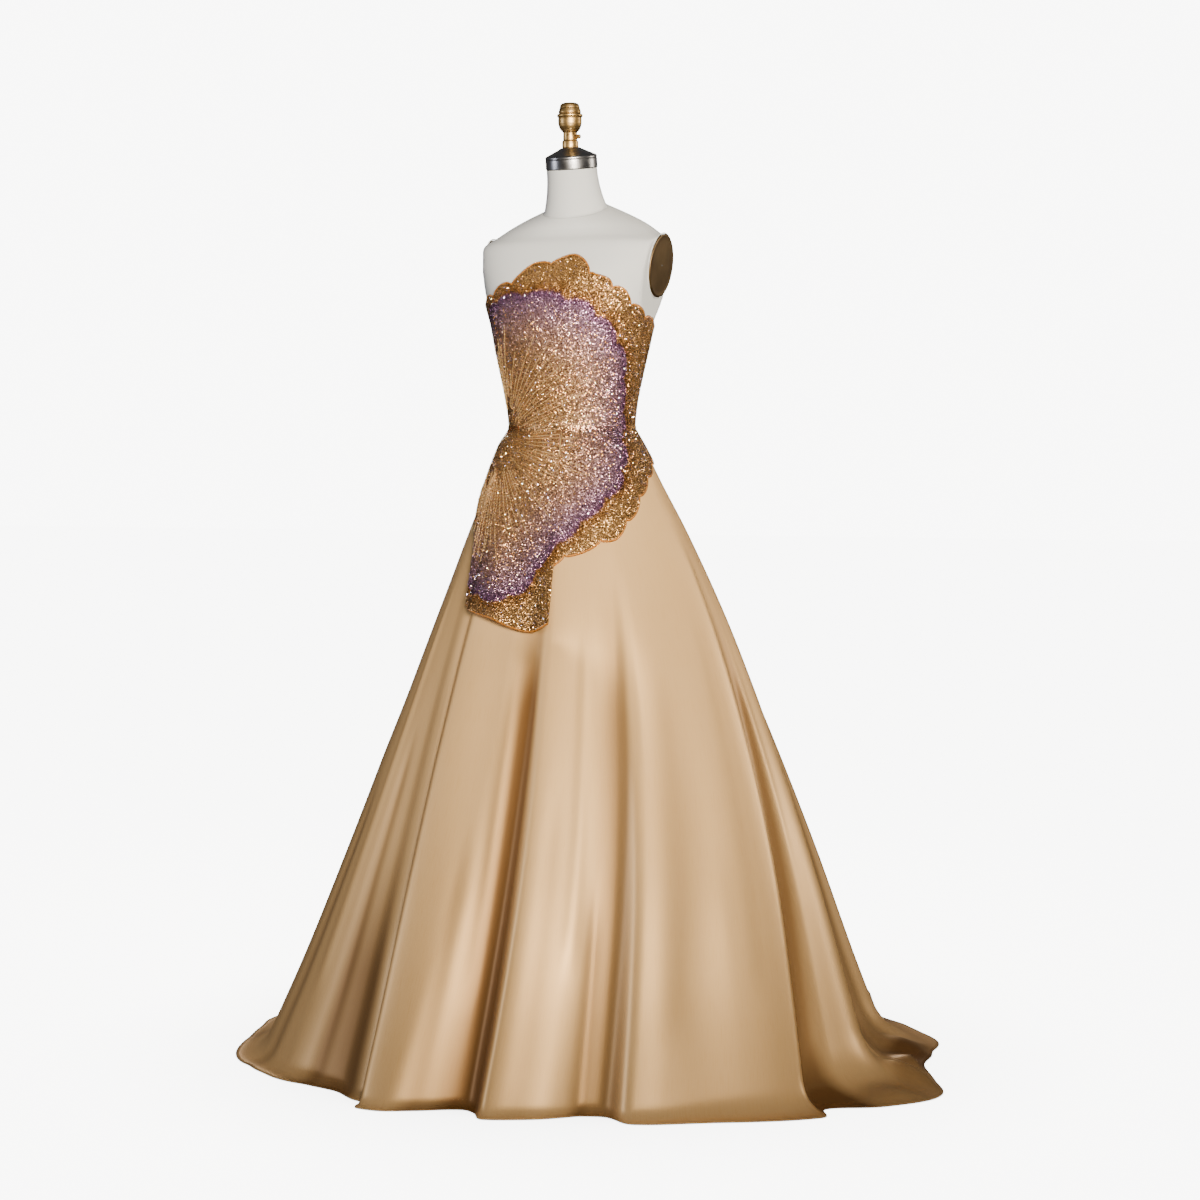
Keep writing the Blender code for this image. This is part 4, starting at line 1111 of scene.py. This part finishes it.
faced = add_node(net_tree, "VectorMath", {"operation": "ADD"},
                 {0: add_node(net_tree, "NewGeometry").outputs["Normal"], 1: tipped.outputs[0]})
unit = add_node(net_tree, "VectorMath", {"operation": "NORMALIZE"}, {0: faced.outputs[0]})
net_tree.links.new(unit.outputs[0], net_shader.inputs["Normal"])

# Sequins: stamped polyester film with a metal coat, 2.4 mm across, each sewn at its own slight tilt,
# so that some flash and their neighbours stay dark.
sequin, sequin_tree, sequin_shader = new_material("metallised_sequins", Metallic=0.88, Roughness=0.16)
sequin_tint = add_node(sequin_tree, "Attribute", {"attribute_name": "bead_colour"}).outputs["Color"]
sequin_at = add_node(sequin_tree, "TexCoord").outputs["Object"]
fleck = add_node(sequin_tree, "TexNoise", {"Scale": 900.0, "Detail": 1.0}, {"Vector": sequin_at})
flecked = add_node(sequin_tree, "MapRange", {"To Min": 0.75, "To Max": 1.3}, {"Value": fleck.outputs["Fac"]})
sequin_mix = add_node(sequin_tree, "HueSaturation", None,
                      {"Color": sequin_tint, "Value": flecked.outputs["Result"]})
sequin_tree.links.new(sequin_mix.outputs[0], sequin_shader.inputs["Base Color"])

# Bugle beads: silver-lined glass tubes in pale gold, laid end to end along the rays.
bugle, bugle_tree, bugle_shader = new_material(
    "gold_lined_bugle_beads", Metallic=0.3, Roughness=0.22, Coat_Weight=0.6, Coat_Roughness=0.05)
bugle_at = add_node(bugle_tree, "TexCoord").outputs["Object"]
bugle_noise = add_node(bugle_tree, "TexNoise", {"Scale": 240.0}, {"Vector": bugle_at})
bugle_mix = blend(bugle_tree, "#E9CD9A", "#BE8640", bugle_noise.outputs["Fac"])
bugle_tree.links.new(bugle_mix, bugle_shader.inputs["Base Color"])

# Amber gimp: a cord wound with glossy rayon thread that binds the scalloped edges.
amber, amber_tree, amber_shader = new_material(
    "amber_rayon_gimp", Metallic=0.35, Roughness=0.36, Sheen_Weight=0.2, Sheen_Roughness=0.4)
amber_at = add_node(amber_tree, "TexCoord").outputs["Object"]
wound = add_node(amber_tree, "TexWave", {"bands_direction": "DIAGONAL", "Scale": 330.0, "Distortion": 2.0},
                 {"Vector": amber_at})
amber_mix = blend(amber_tree, "#C9822A", "#7E4A10", wound.outputs["Fac"])
amber_tree.links.new(amber_mix, amber_shader.inputs["Base Color"])
add_bump(amber_tree, amber_shader, wound.outputs["Fac"], 0.5, 0.0003)

# A sequin is a low four-sided crystal shape, 1 across.
turn = np.radians(full_turn(4))
SEQUIN = Shape(
    np.concatenate([np.stack([0.5 * np.cos(turn), 0.5 * np.sin(turn), 0 * turn], axis=-1), [[0, 0, 0.08]]]),
    np.array([[at, (at + 1) % 4, 4] for at in range(4)] + [[0, 2, 1], [0, 3, 2]]))
SEQUIN_SIZE = 0.0024
SEQUIN_SPACING = 0.00215
SEQUIN_LIFT = 0.0005
SEQUIN_TILT = 0.5
SEQUIN_WANDER = 0.7
CRYSTALS_BELOW, BIG_CRYSTALS_BELOW = 0.07, 0.04
CRYSTAL_SHAPE = np.array([[0.9, 0.9, 5.0]])
CRYSTAL_TINTS = np.array([linear(code)[:3] for code in ("#F3E9EE", "#F5C9B0", "#CDBBE6", "#F0D9A0")])
DARK_ABOVE, GOLD_ABOVE = 0.66, 0.84
DARK_SHADE = 0.22
GOLD_TINT = np.array(linear("#B98440")[:3])
GOLD_UP_TO = 0.93
SHADE_WANDER, SHADE_WANDERS_UP_TO = 0.05, 0.9

# The rays: bugle beads laid end to end on bearings 3.6 degrees apart, from near the fan's middle
# part of the way to its rim.
RAY_PITCH = 3.6
RAY_WANDER = 1.6
RAY_START, RAY_START_SPREAD = 0.055, 0.06
RAY_END, RAY_END_SPREAD = 0.46, 0.36
RAY_BEADS = 50
BUGLE_STEP = 0.0062
BUGLE_SIZE = np.array([0.0048, 0.0011, 0.0011])
BUGLE_LIFT = 0.0015
BUGLE_TILT = 0.04
LAY_TURN, LAY_RISE, LAY_STEP = 0.3, 0.001, 0.002
RAY_MARGIN = 1.5

# The net is darker than its beads. A gimp binds each piece's top or hem, and picot beads stand on it.
NET_SHADE = 0.6
GIMP_RADIUS = 0.0017
PICOT_MARGIN = 0.002
PICOT_SPACING = 0.0027
PICOT_OUT = 0.0022
PICOT_TILT = 0.3
PICOT_SIZE = np.array([0.0026, 0.0026, 0.0100])
BORDER_SHARE, BORDER_DEPTH = 0.002, 0.02


def tilt_normals(normal, most, chance):
    """The normals, each tipped by a random vector whose parts are that long at most."""
    return normalised(normal + most * (chance.random(normal.shape) * 2 - 1))


def sew_sequins(name, place, seed, keep=None):
    """Sequins over a whole cloth, in staggered rows with every place moved a little, coloured by the
    fan. One draw for each picks the pale crystals, the dark ones and the gold ones among them."""
    def length_over(across, down):
        """The length of the cloth's line through those shares."""
        return np.linalg.norm(np.diff(place(across, down)[2], axis=0), axis=1).sum()

    chance = np.random.default_rng(seed)
    fine = np.linspace(0, 1, 40)
    wide = length_over(fine, 0.5 + 0 * fine)
    tall = max(length_over(share + 0 * fine, fine) for share in (0.2, 0.5, 0.8))
    columns, rows = int(wide / SEQUIN_SPACING), int(tall / SEQUIN_SPACING)
    across, down = np.meshgrid(
        (np.arange(columns) + 0.5) / columns, (np.arange(rows) + 0.5) / rows, indexing="ij")
    across = across + 0.25 * (np.arange(rows)[None, :] % 2 * 2 - 1) / columns
    across = (across + (chance.random(across.shape) - 0.5) * SEQUIN_WANDER / columns).reshape(-1)
    down = (down + (chance.random(down.shape) - 0.5) * SEQUIN_WANDER / rows).reshape(-1)
    inside = (across > 0.002) & (across < 0.998) & (down > 0.003) & (down < 0.997)
    across, down = across[inside], down[inside]
    if keep is not None:
        chosen = keep(*place(across, down)[:2])
        across, down = across[chosen], down[chosen]
    angle, height, _ = place(across, down)
    spots, normal = facing_out(place, across, down, BEADED_WALL + SEQUIN_LIFT)
    share = fan_share(angle, height)
    share = share + (chance.random(len(share)) - 0.5) * SHADE_WANDER * (share < SHADE_WANDERS_UP_TO)
    colour = fan_colour(share) * (0.4 + 1.4 * chance.random((len(share), 1)) ** 1.6)
    draw = chance.random(len(share))
    pale = CRYSTAL_TINTS[chance.integers(0, len(CRYSTAL_TINTS), len(share))]
    colour = np.where((draw < CRYSTALS_BELOW)[:, None], pale, colour)
    colour = np.where(((draw > GOLD_ABOVE) & (share < GOLD_UP_TO))[:, None], GOLD_TINT, colour)
    colour = np.where(((draw > DARK_ABOVE) & (draw < GOLD_ABOVE))[:, None], colour * DARK_SHADE, colour)
    size = SEQUIN_SIZE * (0.75 + 0.4 * chance.random((len(share), 1)))
    size = size * np.where((draw < BIG_CRYSTALS_BELOW)[:, None], CRYSTAL_SHAPE, 1.0)
    along = chance.random(spots.shape) * 2 - 1
    return sew_on(name, SEQUIN, spots, along, tilt_normals(normal, SEQUIN_TILT, chance), size, colour, sequin)


def sew_rays(name, place_rays, seed):
    """Rays of bugle beads, laid end to end from near the fan's middle outwards, where they lie on this
    cloth. Each ray's bearing, start and end are the same on every cloth."""
    rays = np.arange(-176, 180, RAY_PITCH)[:, None]
    wander, starts, ends = (np.random.default_rng(own).random(rays.shape) for own in (7, 8, 9))
    bearing = np.radians(rays + (wander - 0.5) * RAY_WANDER)
    first = RAY_START + RAY_START_SPREAD * starts
    last = follow(RIMS, "bearing", "reach", np.degrees(bearing)) * (RAY_END + RAY_END_SPREAD * ends)
    far = first + BUGLE_STEP * np.arange(RAY_BEADS)[None, :]
    use = far < last
    across = far * np.cos(bearing) + follow(GIRTHS, "height", "radius", FAN_HEIGHT) * math.radians(FAN_ANGLE)
    height = FAN_HEIGHT + far * np.sin(bearing)
    angle = np.degrees(across / follow(GIRTHS, "height", "radius", height))
    direction = np.broadcast_to(bearing, use.shape)
    spots, normal, tangents, inside = place_rays(angle[use], height[use], direction[use])
    normal = tilt_normals(normal[inside], BUGLE_TILT, np.random.default_rng(seed))
    return sew_on(name, STICK, spots[inside], tangents[inside], normal, BUGLE_SIZE, None, bugle)


def bind_edge(name, place, edge, count, seed):
    """The gimp along a cloth's top or hem, and the picot beads that stand on it, pointing outwards."""
    share = np.linspace(0, 1, count)
    level, inwards = (BORDER_SHARE, BORDER_DEPTH) if edge == "top" else (1 - BORDER_SHARE, -BORDER_DEPTH)
    path = place(share, 0 * share + level, 0.5 * BEADED_WALL)[2]
    cord = tube(name + "_gimp_" + edge, path, GIMP_RADIUS, amber)
    run = run_along(path)
    at = np.arange(PICOT_MARGIN, run[-1] - PICOT_MARGIN, PICOT_SPACING)
    spots = points_at(path, run, at)
    outwards = normalised(spots - place(np.interp(at, run, share), 0 * at + level + inwards)[2])
    facing = np.cross(outwards, [0, 0, 1.0]) + spots * [4, 4, 0]
    picots = sew_on(name + "_picots_" + edge, SEQUIN, spots + PICOT_OUT * outwards, outwards,
                    tilt_normals(facing, PICOT_TILT, np.random.default_rng(seed)), PICOT_SIZE,
                    np.repeat([linear("#C98A34")[:3]], len(spots), axis=0), sequin)
    return [cord, picots]


def beaded_cloth(name, node, place, columns, rows, seed, edge, edge_points,
                 keep=None, place_rays=None):
    """One beaded piece: its net, its sequins, its rays, and the gimp and picot beads along one edge."""
    across, down = np.meshgrid(np.linspace(0, 1, columns), np.linspace(0, 1, rows), indexing="ij")
    angle, height, points = place(across, down)
    cloth = weave_mesh(name, points, net)
    tint_mesh(cloth, "bead_colour", fan_colour(fan_share(angle, height)) * NET_SHADE)
    thicken(cloth, BEADED_WALL)
    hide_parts(node)
    pieces = [sew_sequins(name + "_sequins", place, seed, keep)]
    if place_rays is not None:
        pieces.append(sew_rays(name + "_rays", place_rays, seed + 50))
    pieces += bind_edge(name, place, edge, edge_points, seed + 90)


def lay_on(spot, angle, height, direction):
    """Places on a cloth, its unit normals there, and a short way over it in a direction of the fan."""
    wide = spot(angle + LAY_TURN, height) - spot(angle - LAY_TURN, height)
    tall = spot(angle, height - LAY_RISE) - spot(angle, height + LAY_RISE)
    turn_by = np.degrees(LAY_STEP * np.cos(direction) / follow(GIRTHS, "height", "radius", height))
    spots = spot(angle, height)
    tangent = spot(angle + turn_by, height + LAY_STEP * np.sin(direction)) - spots
    return spots, normalised(np.cross(tall, wide)), tangent


def on_bodice(start, end):
    """Where rays lie on a bodice panel: the place, normal and direction there, and whether it is on
    the panel."""
    def spot(angle, height):
        """A place on the bodice's beads."""
        return body_point(angle, height, off_the_form(height) + BEADED_WALL + BUGLE_LIFT)

    def place_rays(angle, height, direction):
        """All four for rays' places on this panel."""
        inside = (angle > start + RAY_MARGIN) & (angle < end - RAY_MARGIN) & (height > WAIST_HEIGHT + 0.0005)
        inside &= height < neckline(np.clip(angle, -180, 180)) - 0.004
        return (*lay_on(spot, angle, height, direction), inside)

    return place_rays


BodiceCut = namedtuple("BodiceCut", "name node start end columns rows flat rayed")
BODICE_CUTS = [
    BodiceCut("beaded_bodice_front", "bodice_front", -90.0, 90.0, 361, 44, (0.48, 0.34), True),
    BodiceCut("beaded_bodice_back_left", "bodice_back_left", 90.0, 180.0, 120, 30, (0.24, 0.22), False),
    BodiceCut("beaded_bodice_back_right", "bodice_back_right", -180.0, -90.0, 120, 30, (0.24, 0.23), True),
]
for seed, cut in enumerate(BODICE_CUTS):
    place_rays = on_bodice(cut.start, cut.end) if cut.rayed else None
    beaded_cloth(cut.name, cut.node, bodice_cloth(cut.start, cut.end), cut.columns, cut.rows,
                 seed + 1, "top", 3 * cut.columns, place_rays=place_rays)


# The hip overlay: a scalloped apron of the same beaded net on the figure's left hip. It is sewn into
# the waist seam, lies on the satin, and its front edge runs under the hanging panel.
WAIST_SEAM_DROP = 0.0002
OVERLAY_EDGE = [
    Edge(0, 0.925),
    Edge(12, 0.923),
    Edge(20, 0.932),
    Edge(30, 0.958),
    Edge(44, 0.986),
    Edge(58, 1.032),
    Edge(70, 1.072),
    Edge(90, 1.116),
    Edge(110, 1.138),
    Edge(130, 1.165),
]
OVERLAY_START = 14.3
OVERLAY_UNDER_PANEL = 13.0
OVERLAY_DIVES_BELOW = 1.135
OVERLAY_DIVE_HEIGHT = 0.06
OVERLAY_DIVE_WIDTH = 30.0
OVERLAY_SCALLOP_PITCH = 13.0
OVERLAY_SCALLOP_DEPTH = 0.012
PANEL_RIGHT_ANGLE = 13.5
RAYS_END_ABOVE, RAYS_END_BELOW = 0.80, 0.0016
EDGE_POINTS = 900
SEAM_SEQUINS = 3400
SEAM_REACH = 0.0055
SEAM_LIFT = 0.0015
SEAM_SLOPE = 0.5


def over_skirt(angle, height, away):
    """A point that far outside the satin's inner face, along its normal."""
    down = 1 - np.asarray(height, float) / WAIST_HEIGHT
    across = skirt_point(angle + STEP_ROUND, down) - skirt_point(angle - STEP_ROUND, down)
    along = skirt_point(angle, down + STEP_DOWN) - skirt_point(angle, down - STEP_DOWN)
    normal = normalised(np.cross(along, across))
    return skirt_point(angle, down) + normal * np.asarray(away)[..., None]


def overlay_cloth(across, down, away=0.0):
    """The overlay's place by shares across and down. Near its front edge it turns forward below the hip."""
    start = OVERLAY_START + (OVERLAY_EDGE[-1].angle - OVERLAY_START) * across
    edge = follow(OVERLAY_EDGE, "angle", "height", start)
    edge = edge - scallop(start, OVERLAY_SCALLOP_PITCH, OVERLAY_SCALLOP_DEPTH)
    top = WAIST_HEIGHT - WAIST_SEAM_DROP
    height = top + (edge - top) * down
    dive = smooth_step((OVERLAY_DIVES_BELOW - height) / OVERLAY_DIVE_HEIGHT)
    nearness = np.clip(1 - (start - OVERLAY_START) / OVERLAY_DIVE_WIDTH, 0, 1)
    angle = start - OVERLAY_UNDER_PANEL * dive * nearness
    return angle, height, over_skirt(angle, height, SATIN_WALL + LAYER_GAP + away + 0 * height)


def on_skirt(lift_at, allowed):
    """Where rays lie on a cloth over the satin, as on the bodice."""
    def spot(angle, height):
        """A place on the cloth's beads."""
        return over_skirt(angle, height, lift_at(angle, height) + BEADED_WALL + BUGLE_LIFT)

    def place_rays(angle, height, direction):
        """All four for rays' places on this cloth."""
        below_seam = WAIST_HEIGHT - RAYS_END_BELOW
        laid = lay_on(spot, angle, np.clip(height, RAYS_END_ABOVE, below_seam), direction)
        return (*laid, (height < below_seam) & allowed(angle, height))

    return place_rays


def overlay_lift(angle, height):
    """The overlay lies on the satin everywhere."""
    return SATIN_WALL + LAYER_GAP + 0 * angle * height


def on_overlay(angle, height):
    """Whether a place is on the part of the overlay that shows."""
    edge = follow(OVERLAY_EDGE, "angle", "height", angle)
    return (angle > PANEL_RIGHT_ANGLE + RAY_MARGIN) & (angle < 128) & (height > edge + 0.006)


def shows_beside_panel(angle, height):
    """Whether the overlay's sequins there aren't under the panel."""
    return angle > PANEL_RIGHT_ANGLE - 0.5


# Sequins sewn by hand over the waist seam, so that the fan runs on across it.
chance = np.random.default_rng(31)
seam_angle = chance.uniform(-96, 124, SEAM_SEQUINS)
seam_height = WAIST_HEIGHT + chance.uniform(-SEAM_REACH, SEAM_REACH, SEAM_SEQUINS)
seam_out = EASE + SATIN_WALL + LAYER_GAP + BEADED_WALL + SEAM_LIFT
seam_out = seam_out + SEAM_SLOPE * np.maximum(WAIST_HEIGHT - seam_height, 0)
seam_spots = body_point(seam_angle, seam_height, seam_out)
seam_normal = normalised(seam_spots * [1, 1, 0])
seam_colour = fan_colour(fan_share(seam_angle, seam_height)) * (0.6 + 0.8 * chance.random((SEAM_SEQUINS, 1)))
seam_along = chance.random((SEAM_SEQUINS, 3)) * 2 - 1
seam_normal = tilt_normals(seam_normal, 0.3, chance)
seam_size = SEQUIN_SIZE * (0.8 + 0.4 * chance.random((SEAM_SEQUINS, 1)))
sew_on("waist_seam_sequins", SEQUIN, seam_spots, seam_along, seam_normal, seam_size, seam_colour, sequin)

beaded_cloth("beaded_hip_overlay", "hip_overlay", overlay_cloth, 260, 40,
             11, "hem", EDGE_POINTS, keep=shows_beside_panel,
             place_rays=on_skirt(overlay_lift, on_overlay))


# The front panel: a hanging tab of the beaded net over the figure's right front. It is sewn into the
# waist seam, lies over the overlay's edge, and swings a little clear of the satin below the hip.
Side = namedtuple("Side", "height angle")
PANEL_SIDE = [
    Side(0.780, -22.0),
    Side(0.846, -28.0),
    Side(0.916, -34.5),
    Side(0.974, -44.0),
    Side(1.010, -53.5),
    Side(1.090, -80.0),
    Side(1.180, -98.0),
]
Drop = namedtuple("Drop", "across height")
PANEL_HEM = [
    Drop(0.0, 0.848),
    Drop(0.28, 0.830),
    Drop(0.55, 0.813),
    Drop(0.75, 0.806),
    Drop(0.90, 0.811),
    Drop(1.0, 0.821),
]
PANEL_LIFT = 0.0034
PANEL_LIFTS_OVER = 0.035
PANEL_STANDS_OFF = 0.006
PANEL_LOOSE_BELOW = 1.0
PANEL_LOOSENS_OVER = 0.16
Fold = namedtuple("Fold", "across width depth below over")
PANEL_FOLDS = [
    Fold(0.40, 0.13, 0.0095, 1.13, 0.20),
    Fold(0.70, 0.12, -0.0030, 1.00, 0.16),
    Fold(0.10, 0.07, -0.0015, 1.00, 0.16),
]


def panel_lift(angle, height):
    """How far the panel's inner face is from the satin's: more where it passes the overlay, and most
    where it hangs free, with soft folds depth * exp(-((across - middle) / width)^2) down it that grow
    below the hip."""
    lift = PANEL_LIFT * smooth_step((WAIST_HEIGHT - WAIST_SEAM_DROP - height) / PANEL_LIFTS_OVER)
    free = PANEL_STANDS_OFF * smooth_step((PANEL_LOOSE_BELOW - height) / PANEL_LOOSENS_OVER)
    lift = SATIN_WALL + LAYER_GAP + lift + free
    left = follow(PANEL_SIDE, "height", "angle", height)
    across = (angle - left) / (PANEL_RIGHT_ANGLE - left)
    for fold in PANEL_FOLDS:
        grown = smooth_step((fold.below - height) / fold.over)
        lift = lift + fold.depth * grown * np.exp(-((across - fold.across) / fold.width) ** 2)
    return lift


def panel_cloth(across, down, away=0.0):
    """The panel's place by shares from its left side to its right and from the waist to its curved hem."""
    hem = follow(PANEL_HEM, "across", "height", across)
    top = WAIST_HEIGHT - WAIST_SEAM_DROP
    height = top + (hem - top) * down
    left = follow(PANEL_SIDE, "height", "angle", height)
    angle = left + (PANEL_RIGHT_ANGLE - left) * across
    return angle, height, over_skirt(angle, height, panel_lift(angle, height) + away)


def on_panel(angle, height):
    """Whether a place is on the panel, clear of its edges."""
    left = follow(PANEL_SIDE, "height", "angle", height)
    return (angle > left + RAY_MARGIN) & (angle < PANEL_RIGHT_ANGLE - 0.8) & (height > 0.845)


beaded_cloth("beaded_front_panel", "front_panel", panel_cloth, 130, 150,
             12, "hem", EDGE_POINTS, place_rays=on_skirt(panel_lift, on_panel))
